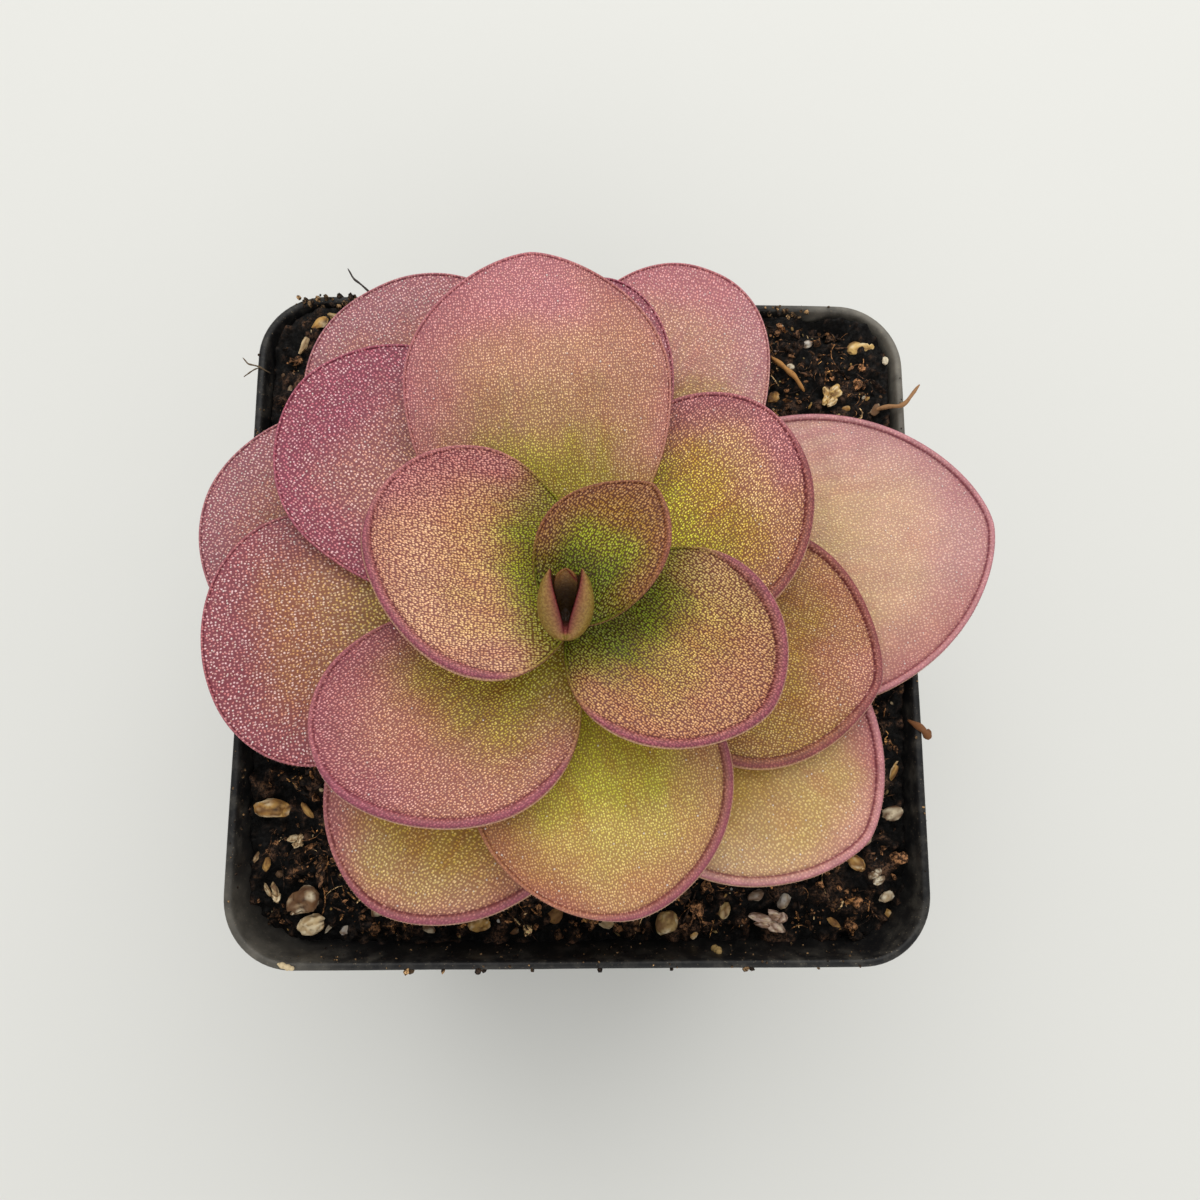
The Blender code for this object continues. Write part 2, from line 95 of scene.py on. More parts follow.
# Pigments, as display colours from 0 to 255
PIGMENTS = {
    "moss": (98, 104, 20), "fern": (128, 127, 32), "leafy": (158, 144, 50), "lime": (168, 154, 48),
    "citron": (180, 168, 62), "lemon": (194, 170, 92), "olive": (160, 134, 58),
    "bronze": (146, 112, 52), "ochre": (160, 124, 62), "honey": (168, 134, 76), "amber": (170, 136, 56),
    "gold": (184, 150, 70), "umber": (140, 102, 44), "crimson": (161, 87, 104),
    "straw": (189, 157, 102), "sand": (199, 165, 127), "cream": (203, 165, 138),
    "apricot": (184, 142, 98), "tan": (171, 133, 94), "clay": (172, 124, 90), "copper": (164, 111, 76),
    "rust": (140, 96, 60), "peach": (188, 141, 113), "salmon": (181, 128, 107),
    "blush": (197, 148, 129), "shell": (193, 147, 142), "rose": (182, 128, 119),
    "pink": (189, 124, 127), "mauve": (174, 123, 125), "berry": (172, 110, 110),
    "magenta": (160, 97, 102), "orchid": (166, 97, 112), "wine": (118, 54, 70), "rim": (144, 76, 94),
    "rim_deep": (130, 70, 72), "rim_pale": (190, 132, 138), "rim_edge_highlight": (206, 170, 142),
    # The last pigment is a painted glint: the near-white put on glands that hold a drop
    "underside": (178, 140, 108), "dew": (238, 228, 224),
}
PIGMENTS = {name: np.array(colour) / 255.0 for name, colour in PIGMENTS.items()}

# The leaves, youngest first, as in the solids
SHAPE_FIELDS = ("azimuth offset start widest reach width tip_power base_power bend "
                "base_height tip_height cup roll")
LEAF_SHAPES = (
    (61, -1.0, -3.0, 4.5, 12.5, 12.0, 1.45, 1.2, -1.5, 15.0, 18.0, 2.5, 0.7),
    (183, -2.5, -2.5, 8.0, 19.5, 23.0, 1.15, 1.25, -3.0, 12.75, 15.0, 2.0, 1.3),
    (-41, 2.5, 0.5, 11.0, 22.5, 21.0, 1.2, 1.2, 1.5, 11.0, 15.0, 2.0, 1.3),
    (94, 1.5, 2.0, 22.0, 36.5, 27.5, 1.3, 1.25, 0.0, 10.25, 13.0, 1.0, 0.7),
    (-129, 0.5, 2.5, 17.0, 29.0, 24.0, 1.15, 1.4, -5.0, 9.5, 11.0, 1.5, 1.3),
    (36, -1.5, 2.0, 16.5, 30.0, 24.0, 1.0, 1.3, 2.5, 8.5, 10.0, 0.5, 1.3),
    (140, 0.0, 2.5, 23.5, 36.5, 25.0, 1.1, 1.4, 0.0, 8.0, 9.0, 0.5, 0.6),
    (-77, -0.5, 2.5, 18.5, 32.5, 26.5, 1.15, 1.3, 0.5, 7.25, 8.0, 1.0, 1.3),
    (83, 0.0, 2.5, 24.0, 37.0, 17.5, 1.05, 1.3, 0.0, 6.25, 7.5, 0.0, 0.5),
    (-172, 0.0, 2.5, 26.5, 37.5, 26.5, 0.95, 1.3, 0.0, 5.75, 7.5, 0.0, 0.6),
    (-15, 1.5, 2.0, 21.0, 34.5, 26.0, 1.35, 1.3, -0.5, 4.75, 6.0, 0.5, 1.3),
    (122, 0.0, 2.5, 25.0, 42.0, 29.5, 0.9, 1.3, 0.0, 4.25, 5.5, 0.25, 0.5),
    (-122, 1.0, 2.5, 21.0, 37.0, 27.5, 1.15, 1.3, -1.0, 4.5, 3.0, 1.0, 1.2),
    (69, 0.0, 2.5, 25.5, 43.5, 25.0, 0.85, 1.3, -1.0, 2.75, 3.0, 0.25, 0.6),
    (-37, 0.0, 2.5, 23.5, 40.5, 29.5, 1.25, 1.3, 0.0, 2.0, 3.5, 0.0, 1.3),
    (163, 0.0, 2.5, 25.0, 41.5, 30.0, 1.05, 1.3, -0.5, 1.25, 2.5, 0.5, 0.5),
    (10, 1.5, 2.0, 28.0, 50.0, 34.0, 1.2, 1.3, 0.5, 0.0, 1.5, 0.0, 1.1),
)

# How each leaf is painted and finished. pigments are its base, body, heart and tip down its middle,
# which meet at the percents of its length in stops, then its left and right margins, seen from its
# base. flush is how strongly the very edge reddens, roll_left and roll_right scale its rolled rim on
# each side, dew is the share of its glands that hold a drop painted near-white as a painted
# glint, rim is the pigment of its rolled rim, net is how strongly the net between its cells shows,
# and frost is how far the middles of the cells turn white.
LOOK_FIELDS = "pigments stops flush roll_left roll_right dew rim net frost"
LEAF_LOOKS = (
    ("moss fern umber rust rust rust", (36, 54, 70, 90), 0.25, 0.5, 1.0, 0.0, "rim_deep", 1, 0.1),
    ("fern apricot peach salmon peach berry", (26, 50, 75, 95), 0.3, 1.0, 0.35, 0.0, "rim", 0.95, 0.15),
    ("moss honey clay clay tan clay", (28, 58, 80, 96), 0.3, 1.0, 0.85, 0.0, "rim", 1, 0.1),
    ("leafy tan peach pink berry salmon", (30, 50, 70, 86), 0.35, 0.3, 0.3, 0.02, "rim", 0.72, 0.35),
    ("leafy olive salmon berry salmon magenta", (22, 42, 68, 93), 0.3, 1.0, 0.4, 0.01, "rim", 0.85, 0.35),
    ("lime amber apricot berry magenta clay", (42, 62, 74, 93), 0.3, 0.35, 1.0, 0.02, "rim_deep", 1, 0.25),
    ("tan blush rose crimson crimson crimson", (30, 52, 68, 88), 0.4, 0.3, 0.3, 0.06, "rim", 1, 0.9),
    ("lime citron lemon apricot apricot copper", (42, 56, 70, 93), 0.3, 0.9, 0.35, 0.04, "rim", 0.58, 0.25),
    ("tan salmon rose crimson berry berry", (30, 50, 60, 80), 0.5, 0.3, 0.3, 0.05, "rim", 0.85, 0.8),
    ("lemon apricot clay magenta magenta magenta", (42, 60, 76, 90), 0.3, 0.3, 0.3, 0.14, "rim", 0.95, 1),
    ("bronze ochre clay salmon clay honey", (52, 70, 84, 95), 0.3, 0.8, 1.0, 0.03, "rim_deep", 0.8, 0.3),
    ("tan peach rose mauve mauve pink", (60, 78, 84, 93), 0.3, 0.3, 0.3, 0.16, "rim", 0.85, 0.9),
    ("amber gold straw peach peach berry", (64, 76, 86, 95), 0.3, 1.0, 0.5, 0.06, "rim", 0.66, 0.35),
    ("straw blush blush pink pink shell", (60, 70, 80, 92), 0.3, 0.35, 0.35, 0.05, "rim_pale", 0.68, 0.6),
    ("gold straw straw blush berry sand", (62, 75, 84, 95), 0.3, 0.9, 0.9, 0.08, "rim_pale", 0.42, 0.35),
    ("tan salmon rose mauve mauve mauve", (60, 78, 84, 93), 0.3, 0.3, 0.3, 0.16, "rim", 0.9, 1),
    ("cream sand cream shell shell rose", (44, 58, 74, 92), 0.3, 0.8, 0.85, 0.04, "rim_pale", 0.36, 0.35),
)

Leaf = namedtuple("Leaf", f"number {SHAPE_FIELDS} {LOOK_FIELDS}")
LEAVES = [Leaf(number, *shape, *look)
          for number, (shape, look) in enumerate(zip(LEAF_SHAPES, LEAF_LOOKS), start=1)]

# Cross-section of a rolled rim, from the blade over the roll and round to the underside: the
# inset in widths of the roll, then the height as a share of the blade's half thickness, plus a
# share of the roll, plus millimetres, and how far its colour is the line's, the band's and the
# pale edge's, which is a painted highlight where light catches the roll's outer edge
RIM_SECTION = (
    (1.42, 1.0, 0.00, 0.00, 0.0, 0.0, 0.0),
    (1.24, 1.0, 0.00, -0.02, 0.0, 0.0, 0.0),
    (1.15, 1.0, 0.00, -0.08, 0.3, 0.0, 0.0),
    (1.10, 1.0, 0.06, -0.05, 0.8, 0.0, 0.0),
    (1.05, 1.0, 0.22, 0.00, 0.6, 0.2, 0.0),
    (0.98, 1.0, 0.38, 0.00, 0.1, 0.6, 0.0),
    (0.86, 1.0, 0.48, 0.00, 0.0, 0.65, 0.0),
    (0.68, 1.0, 0.54, 0.00, 0.0, 0.75, 0.0),
    (0.48, 1.0, 0.52, 0.00, 0.05, 0.95, 0.0),
    (0.31, 1.0, 0.44, 0.00, 0.35, 1.0, 0.0),
    (0.19, 0.85, 0.37, 0.00, 0.45, 0.5, 0.1),
    (0.08, 0.45, 0.28, 0.00, 0.0, 0.0, 0.9),
    (0.00, 0.00, 0.16, 0.00, 0.0, 0.0, 1.0),
    (0.02, -0.4, 0.04, 0.00, 0.0, 0.2, 0.8),
    (0.12, -0.8, 0.00, 0.00, 0.0, 0.6, 0.4),
    (0.32, -1.0, 0.00, 0.00, 0.0, 0.6, 0.1),
)
BLADE_RING_COUNT = 22
UNDER_RING_COUNT = 8
LEAF_POINTS = 168
SMALL_LEAF_POINTS = 132
CELL_RANDOMNESS = 0.7

# Steps in which a leaf's outline and its cells are fitted by trial
HALVINGS = 26
FITTING_ROUNDS = 4

# How the cells of a leaf are painted: the distance from their middles at which they start and end
# to fade into the net, and what the net, the light cells and the bright ones scale the pigment by
Cells = namedtuple("Cells", "near far net light bright")
YOUNG_CELLS = Cells(0.27, 0.49, (0.44, 0.26, 0.32), (1.5, 1.6, 1.42), (2.05, 2.35, 2.0))
OLD_CELLS = Cells(0.2, 0.43, (0.57, 0.4, 0.47), (1.78, 1.98, 1.72), (2.5, 3.0, 2.6))

# Points round the bud's section and along it
BUD_STEPS = 5
BUD_STATIONS = 44
HEART_ROWS = 30
HEART_COLUMNS = 15

# The pot's lip, from the band's step up, over and in: insets of its half width and of its corners,
# and the depth under the rim
LIP_SECTION = ((0.45, 0.2, 7.2), (0.3, 0.0, 7.0), (0.15, 0.0, 3.8), (0.02, 0.0, 0.6), (0.0, 0.0, 0.38),
               (0.05, 0.05, 0.17), (0.18, 0.18, 0.04), (0.36, 0.34, 0.0), (0.58, 0.58, 0.0),
               (0.76, 0.76, 0.06), (0.87, 0.87, 0.2))
INNER_WALL_HEIGHTS = (65.5, 64.0, 62.0, 60.0, 59.0, 55.0, 45.0, 30.0, 15.0, 4.0)
CORNER_STEPS = 18
SIDE_STEPS = 16
DRAIN_SIDES = 40
SHARP_ANGLE = 38

# Loose bits on the soil: place, size, turn in degrees, colour and kind. The first are those that
# are also solids, and the others are laid on the soil's surface.
Chip = namedtuple("Chip", "x y length width height turn colour kind", defaults=("bark",))
CHIPS = [Chip(*row) for row in (
    (33.3, 33.0, 3.2, 1.9, 1.4, 15, "pale_gold"),
    (29.6, 27.0, 2.8, 2.4, 1.2, 60, "pale_gold", "perlite"),
    (21.3, -33.8, 4.4, 2.6, 1.8, -15, "pink_white", "perlite"),
    (-33.9, -21.4, 3.8, 2.0, 1.3, -5, "gold"),
    (-31.2, -24.8, 1.9, 1.7, 1.0, 30, "cream_white", "perlite"),
    (-30.4, -31.4, 3.4, 2.8, 1.6, 40, "brown"),
    (-29.6, -34.0, 3.0, 2.0, 1.3, 20, "cream_white"),
    (-33.9, -30.4, 2.4, 1.8, 1.1, -50, "cream_white", "perlite"),
    (33.2, -28.8, 2.8, 1.8, 1.3, 50, "shell_white", "perlite"),
    (30.8, -27.4, 2.6, 1.4, 0.9, -35, "gold"),
    (9.5, -33.9, 2.7, 2.2, 1.4, 70, "olive_tan"),
    (-11.2, -34.0, 2.4, 1.6, 1.0, 10, "gold"),
)]
LITTER = [Chip(*row) for row in (
    (26.8, 33.2, 1.3, 0.9, 0.7, 20, "grey_white"),
    (36.1, 31.2, 1.1, 0.7, 0.5, 80, "shell_white"),
    (35.0, -33.4, 2.4, 1.3, 0.7, -30, "gold"),
    (19.6, -31.0, 1.9, 1.2, 0.8, 20, "grey_white"),
    (22.9, -31.6, 2.0, 1.4, 1.0, 60, "grey_white"),
    (16.0, -32.6, 1.9, 1.2, 0.9, 75, "olive_tan"),
    (-30.2, -21.6, 2.1, 0.7, 0.4, -50, "gold"),
    (-35.6, -26.6, 1.5, 0.6, 0.4, 60, "cream_white"),
    (-34.6, -27.4, 1.6, 0.8, 0.5, 80, "gold"),
    (-27.9, -34.4, 1.7, 0.5, 0.3, 50, "shell_white"),
    (-26.2, -34.9, 1.4, 1.0, 0.6, 20, "grey_white"),
    (-3.0, -33.3, 2.1, 1.6, 1.0, 40, "gold"),
    (2.8, -34.0, 1.8, 1.2, 0.8, -20, "cream_white"),
    (34.4, -31.2, 1.9, 1.1, 0.7, 30, "shell_white"),
    (35.4, -17.2, 2.2, 0.7, 0.5, 65, "gold"),
    (28.6, -34.2, 2.0, 0.8, 0.5, -40, "gold"),
    (-32.6, 32.4, 3.4, 0.8, 0.5, 65, "cream_white"),
    (-31.0, 34.4, 2.0, 1.2, 0.8, 40, "gold"),
    (-29.2, 35.2, 2.4, 1.0, 0.7, -20, "olive_tan"),
    (-34.6, 27.0, 2.2, 0.8, 0.6, 70, "brown"),
    (-35.0, 22.0, 1.5, 0.8, 0.5, 80, "cream_white"),
    (-33.4, 18.0, 2.1, 0.6, 0.5, 60, "gold"),
    (31.6, 25.4, 1.4, 1.0, 0.6, 10, "gold"),
    (22.6, 26.6, 1.7, 1.2, 0.8, 30, "gold"),
    (34.6, 25.0, 1.8, 1.0, 0.6, 50, "brown"),
    (24.6, 30.2, 0.9, 0.7, 0.5, 0, "shell_white"),
    (-7.4, -35.0, 1.2, 0.8, 0.5, 10, "brown"),
    (12.8, -35.2, 1.4, 0.8, 0.5, 60, "gold"),
    (-22.0, -32.0, 3.0, 1.8, 1.2, 35, "brown"),
    (-17.0, -34.6, 1.6, 0.9, 0.6, -25, "brown"),
    (34.8, -22.0, 2.6, 1.6, 1.2, 20, "brown"),
    (32.0, -24.6, 2.2, 1.6, 1.2, 70, "pink_white"),
)]
CHIP_BITS = {"bark": 3, "perlite": 5}
LITTER_COLOURS = {
    "gold": (186, 144, 78),
    "pale_gold": (214, 178, 108),
    "olive_tan": (158, 132, 82),
    "brown": (112, 84, 58),
    "cream_white": (206, 182, 140),
    "shell_white": (198, 188, 166),
    "grey_white": (178, 172, 164),
    "pink_white": (196, 170, 156),
}

# How much lies on the soil
SOIL_GRID = 250
LARGE_CLODS = 620
SMALL_CLODS = 4600
SHREDS = 2600
FLECKS = 1000
FIBRES = 1500
FIBRE_STEPS = 6
FIBRE_SIDES = 4
STRAND_STEPS = 18
STRAND_SIDES = 8
LIP_GRAINS = 90
NEAR_WALL_GRAINS = 160
LEFT_WALL_GRAINS = 60

# Flat cuts that break each lump
LUMP_CUTS = 7

# Needles and roots: points from end to end in millimetres, with the height over the rim, then
# the widest radius and the colour
STRANDS = (
    (((22.3, 31.6, -0.6), (23.5, 30.2, 0.0), (24.9, 28.9, 0.1), (26.3, 27.3, -0.8)), 0.3, (172, 122, 66)),
    (((33.6, 24.6, -1.0), (35.3, 25.2, 0.1), (36.7, 25.0, 0.8), (37.6, 25.1, 1.0), (38.5, 26.2, 0.9),
      (39.7, 27.8, 0.6)), 0.26, (150, 110, 72)),
    (((-24.6, 37.6, -0.4), (-26.0, 38.9, 0.5), (-27.2, 39.8, 0.6), (-27.9, 41.0, 0.9)), 0.13, (58, 52, 48)),
    (((-36.6, 28.4, -0.6), (-37.9, 28.9, 0.4), (-39.0, 29.1, 0.2), (-39.6, 29.9, 0.3)), 0.1, (96, 80, 60)),
    (((-37.6, 28.8, 0.2), (-38.6, 28.2, 0.3), (-39.4, 27.6, 0.1)), 0.08, (96, 80, 60)),
    (((36.6, -11.6, -0.6), (38.0, -12.6, 0.3), (38.8, -13.6, -0.3), (39.0, -12.6, -0.8)),
     0.42, (112, 70, 36)),
    (((17.8, -37.0, -4.6), (19.2, -36.6, -4.9), (20.4, -36.7, -4.4)), 0.2, (190, 160, 100)),
    (((-31.8, -37.2, 0.15), (-30.8, -37.5, 0.3), (-30.0, -37.7, 0.2)), 0.3, (204, 184, 146)),
    (((14.4, -36.4, -3.4), (14.9, -36.5, -2.4), (15.0, -36.6, -1.6)), 0.42, (166, 138, 86)),
)


def linear(colour):
    """Linear values of a display colour from 0 to 255."""
    share = np.asarray(colour, float) / 255.0
    return np.where(share <= 0.04045, share / 12.92, ((share + 0.055) / 1.055) ** 2.4)


def smooth(low, high, value):
    t = np.clip((value - low) / (high - low), 0.0, 1.0)
    return t * t * (3.0 - 2.0 * t)


def mix(a, b, weight):
    """Between two colours, or rows of colours, by a weight for each row."""
    weight = np.asarray(weight, float)
    if weight.ndim:
        weight = weight[..., None]
    return a * (1.0 - weight) + b * weight


def rows(*columns):
    """Rows from columns, of which some may be single numbers."""
    return np.stack(np.broadcast_arrays(*columns), axis=1)


def lattice(cells, seed):
    """A repeatable random value from -1 to 1 at each whole-number cell."""
    cells = cells.astype(np.uint64)
    mask = np.uint64(0xFFFFFFFF)
    h = (cells[:, 0] * np.uint64(73856093)) ^ (cells[:, 1] * np.uint64(19349663))
    h = (h ^ (cells[:, 2] * np.uint64(83492791)) ^ np.uint64(seed * 2654435761)) & mask
    h = ((h ^ (h >> np.uint64(15))) * np.uint64(2246822519)) & mask
    h = ((h ^ (h >> np.uint64(13))) * np.uint64(3266489917)) & mask
    return ((h ^ (h >> np.uint64(16))) & np.uint64(0xFFFF)).astype(float) / 32767.5 - 1.0


def cloud(points, size, seed, octaves=1):
    """Smooth noise from about -1 to 1 at rows of points, with features of a given size."""
    total, amount, reach = 0.0, 1.0, 0.0
    for octave in range(octaves):
        place = points / size * 2 ** octave + 31.7 * octave
        cell = np.floor(place).astype(np.int64)
        part = place - cell
        part = part * part * (3.0 - 2.0 * part)
        value = 0.0
        for corner in range(8):
            step = np.array([corner & 1, corner >> 1 & 1, corner >> 2 & 1])
            weight = np.prod(np.where(step, part, 1.0 - part), axis=1)
            value = value + weight * lattice(cell + step, seed + octave)
        total = total + amount * value
        reach += amount
        amount *= 0.5
    return total / reach


def dice(number):
    """A source of chance that gives the same draws on each run."""
    return np.random.default_rng(RNG_SEED + number)


def eased(keys, steps, rounds):
    """A path of steps through keys, with its bends eased a number of times."""
    keys = np.array(keys)
    spread = np.linspace(0, len(keys) - 1, steps)
    path = np.stack([np.interp(spread, np.arange(len(keys)), column) for column in keys.T], axis=1)
    for _ in range(rounds):
        path[1:-1] = 0.25 * path[:-2] + 0.5 * path[1:-1] + 0.25 * path[2:]
    return path


def spun(x, y, angle):
    """x and y after a turn about the vertical."""
    return x * np.cos(angle) - y * np.sin(angle), x * np.sin(angle) + y * np.cos(angle)


def add_mesh(name, material, points, faces, tints=None, soft=True, **extra):
    """A mesh object from points in millimetres, with colours and other values at its points."""
    mesh = bpy.data.meshes.new(name)
    faces = faces.tolist() if isinstance(faces, np.ndarray) else faces
    mesh.from_pydata((np.asarray(points, float) * MM).tolist(), [], faces)
    if tints is not None:
        tints = np.column_stack([tints, np.ones(len(points))]).astype(np.float32)
        mesh.attributes.new("tint", "FLOAT_COLOR", "POINT").data.foreach_set("color", tints.ravel())
    for key, values in extra.items():
        values = np.asarray(values, np.float32)
        kind, field = ("FLOAT", "value") if values.ndim == 1 else ("FLOAT_VECTOR", "vector")
        mesh.attributes.new(key, kind, "POINT").data.foreach_set(field, values.ravel())
    mesh.validate()
    mesh.polygons.foreach_set("use_smooth", [soft] * len(mesh.polygons))
    mesh.update()
    mesh.materials.append(material)
    item = bpy.data.objects.new(name, mesh)
    bpy.context.scene.collection.objects.link(item)
    return item


def finish_piece(item, slot, *nodes):
    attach(item, "root")
    if nodes:
        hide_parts(*nodes)
    return item


def ring_faces(first_a, first_b, count):
    """Quads between two closed rings of point numbers."""
    i = np.arange(count)
    j = (i + 1) % count
    return rows(first_a + i, first_a + j, first_b + j, first_b + i).tolist()


def skin_faces(rings, count, flip=False):
    """Faces over closed rings of points that follow one another, with a cap at each end."""
    faces = []
    for first in range(0, (rings - 1) * count, count):
        faces += ring_faces(first, first + count, count)
    faces += [list(range(count - 1, -1, -1)), list(range((rings - 1) * count, rings * count))]
    return [face[::-1] for face in faces] if flip else faces


def join(parts):
    """One set of points and faces, and of colours where there are any, from several."""
    points, faces, *tints = zip(*parts)
    firsts = np.cumsum([0] + [len(p) for p in points[:-1]])
    faces = np.concatenate([f + first for f, first in zip(faces, firsts)])
    return np.concatenate(points), faces, *(np.concatenate(t) for t in tints)


def copies(shape, faces):
    """Points and triangles of many copies of one shape, from the points of each."""
    first = shape.shape[1] * np.arange(len(shape))[:, None, None]
    return shape.reshape(-1, 3), (faces[None] + first).reshape(-1, 3)


# Leaves
def leaf_half(leaf, tipward):
    """Length and power of the outline on the leaf's side of the tip, or else of the base."""
    return (np.where(tipward, leaf.reach - leaf.widest, leaf.widest - leaf.start),
            np.where(tipward, leaf.tip_power, leaf.base_power))


def leaf_plan(leaf, rho, theta):
    """Along and across the leaf, at a share rho of the way to its edge in direction theta."""
    cosine, sine = np.cos(theta), np.sin(theta)
    length, power = leaf_half(leaf, cosine > 0)
    return leaf.widest + rho * length * cosine, rho * 0.5 * leaf.width * np.sign(sine) * np.abs(sine) ** power


def leaf_rho(leaf, along, across):
    """The share rho at which a point of the plan lies, 1 at the edge."""
    length, power = leaf_half(leaf, along > leaf.widest)
    low, high = np.full(len(along), 1e-4), np.full(len(along), 4.0)
    for _ in range(HALVINGS):
        rho = 0.5 * (low + high)
        beyond = ((along - leaf.widest) / (rho * length)) ** 2
        beyond = beyond + (np.abs(across) / (rho * 0.5 * leaf.width)) ** (2.0 / power) > 1.0
        low, high = np.where(beyond, rho, low), np.where(beyond, high, rho)
    return 0.5 * (low + high)


def leaf_share(leaf, along):
    """How far along the leaf a point lies, from 0 at its foot to 1 at its tip."""
    return (along - leaf.start) / (leaf.reach - leaf.start)


def leaf_height(leaf, along, across):
    """Height of the blade's middle surface over the pot's rim."""
    t = np.clip(leaf_share(leaf, along), 0.0, 1.0)
    side = across / (0.5 * leaf.width)
    lift = side * side * np.minimum(1.0, t / 0.3) + 0.35 * np.maximum(0.0, (t - 0.6) / 0.4) ** 2
    rise = 1.0 - (1.0 - t) ** RISE_POWER
    return leaf.base_height + (leaf.tip_height - leaf.base_height) * rise + leaf.cup * lift


def leaf_place(leaf, along, across):
    """The part's x and y of points of the plan."""
    side = across + leaf.offset + leaf.bend * (along / leaf.reach) ** 2
    x, y = spun(along, side, math.radians(leaf.azimuth))
    return CROWN_X + x, y


def leaf_unplace(leaf, x, y):
    """Along and across the leaf of points given by the part's x and y."""
    along, side = spun(x - CROWN_X, y, -math.radians(leaf.azimuth))
    return along, side - leaf.offset - leaf.bend * (along / leaf.reach) ** 2


def half_thickness(rho):
    return 0.5 * (BLADE_EDGE + (BLADE_MIDDLE - BLADE_EDGE) * (1.0 - rho * rho))


def even_angles(leaf, count):
    """Directions whose outline points are evenly spaced."""
    dense = np.linspace(0.0, 2.0 * math.pi, 4001)
    along, across = leaf_plan(leaf, 1.0, dense)
    length = np.concatenate([[0.0], np.cumsum(np.hypot(np.diff(along), np.diff(across)))])
    return np.interp(np.arange(count) / count * length[-1], length, dense)


def leaf_relief(leaf, along, across, rho):
    """Fine height changes of the upper surface: a soft trough down the middle and a swell."""
    t = leaf_share(leaf, along)
    side = across / (0.5 * leaf.width)
    trough = np.exp(-(side / 0.11) ** 2) * smooth(0.03, 0.2, t) * (1.0 - smooth(0.25, 0.8, t))
    return 0.07 * cloud(rows(along, across, 9.0 * leaf.number), 6.0, 11, 2) * (1.0 - 0.5 * rho) - 0.2 * trough


def leaf_wave(leaf, theta, rho):
    """A slight wave of the whole margin, up and down."""
    spots = rows(1.9 * np.cos(theta), 1.9 * np.sin(theta), 5.0 * leaf.number)
    return 0.11 * cloud(spots, 1.0, 23, 2) * rho ** 4


def half_width(leaf, along):
    """Half the leaf's width at a distance along it."""
    length, power = leaf_half(leaf, along > leaf.widest)
    return 0.5 * leaf.width * np.maximum(1.0 - ((along - leaf.widest) / length) ** 2, 0.0) ** (0.5 * power)


def leaf_tint(leaf, along, across, rho):
    """The blade's display colour: pigments from its base to its tip, then those of its margins."""
    base, body, heart, tip, left, right = (PIGMENTS[name] for name in leaf.pigments.split())
    first, second, third, last = (percent / 100 for percent in leaf.stops)
    t = leaf_share(leaf, along)
    side = across / np.maximum(half_width(leaf, along), 0.25 * leaf.width)
    spots = rows(along, across, 7.0 * leaf.number)
    streak = cloud(spots * np.array([0.22, 1.0, 1.0]), 1.6, 39, 2) * (1.0 - smooth(0.5, 0.8, t))
    drift = 0.05 * cloud(spots, 6.0, 41, 2) + 0.025 * cloud(spots, 1.6, 43, 2) + 0.045 * streak
    # The base colour reaches further up the middle than at the sides
    reach = t + drift + 0.1 * side * side * (1.0 - smooth(0.3, 0.6, t))
    shade = mix(base, body, smooth(first, second, reach))
    shade = mix(shade, heart, smooth(second, third, reach))
    shade = mix(shade, tip, smooth(third, last, reach))
    sideways = smooth(0.3, 0.9, np.abs(side) + 1.4 * drift) * smooth(0.1, 0.4, t)
    shade = mix(shade, mix(right, left, smooth(-0.4, 0.4, side)),
                0.9 * sideways * (1.0 - 0.6 * smooth(last - 0.1, 1.0, t)))
    shade = mix(shade, PIGMENTS["orchid"], leaf.flush * smooth(0.84, 1.02, rho + drift) * smooth(0.2, 0.5, t))
    # Fine rays where the base colour meets the body's, and a dull veil beyond
    ray = cloud(spots * np.array([0.2, 1.0, 1.0]), 1.1, 49, 3)
    meeting = smooth(first - 0.16, first + 0.04, t) * (1.0 - smooth(second, third + 0.1, t))
    veil = smooth(0.05, 0.7, cloud(spots, 3.6, 45, 3)) * smooth(first, third, t)
    for tone, weight in (((0.93, 0.8, 0.84), 0.5 * smooth(0.0, 0.5, ray) * meeting),
                         ((1.02, 1.07, 0.94), 0.4 * smooth(0.0, 0.5, -ray) * meeting),
                         ((0.98, 0.91, 0.94), 0.7 * veil)):
        shade = mix(shade, shade * np.array(tone), weight)
    return shade * (1.0 + 0.05 * cloud(spots, 2.2, 47, 3))[:, None]


def leaf_paint(shade):
    """A leaf's display colour as a linear pigment, less what the shine on it adds."""
    return np.maximum(linear(shade * 255.0) - 0.010, 0.003)


def local_roll(leaf, along, across):
    """Width of the rolled rim: none at the base, and more on one side than the other."""
    left = smooth(-0.7, 0.3, across / (0.5 * leaf.width))
    scale = leaf.roll_right + (leaf.roll_left - leaf.roll_right) * left
    return np.maximum(0.28, 0.84 * leaf.roll * scale * smooth(0.12, 0.6, leaf_share(leaf, along)))


def cell_size(leaf):
    """Length and width of the cells: fine and long on the young leaves, coarser on the outer ones."""
    if leaf.number <= 3:
        return 0.29, 0.22
    return (0.37, 0.32) if leaf.number in (7, 9, 10) or leaf.number >= 12 else (0.31, 0.26)


def cell_place(leaf, along, across):
    """The leaf's place in its pattern of cells, which is a bent and stretched plane."""
    long, wide = cell_size(leaf)
    spots = rows(along, across, 13.0 * leaf.number)
    u = along / long + 0.5 * cloud(spots, 2.4, 51, 2) + 1.6 * cloud(spots, 9.0, 53, 1)
    v = across / wide + 0.5 * cloud(spots, 2.4, 55, 2) + 1.6 * cloud(spots, 9.0, 57, 1)
    return u, v


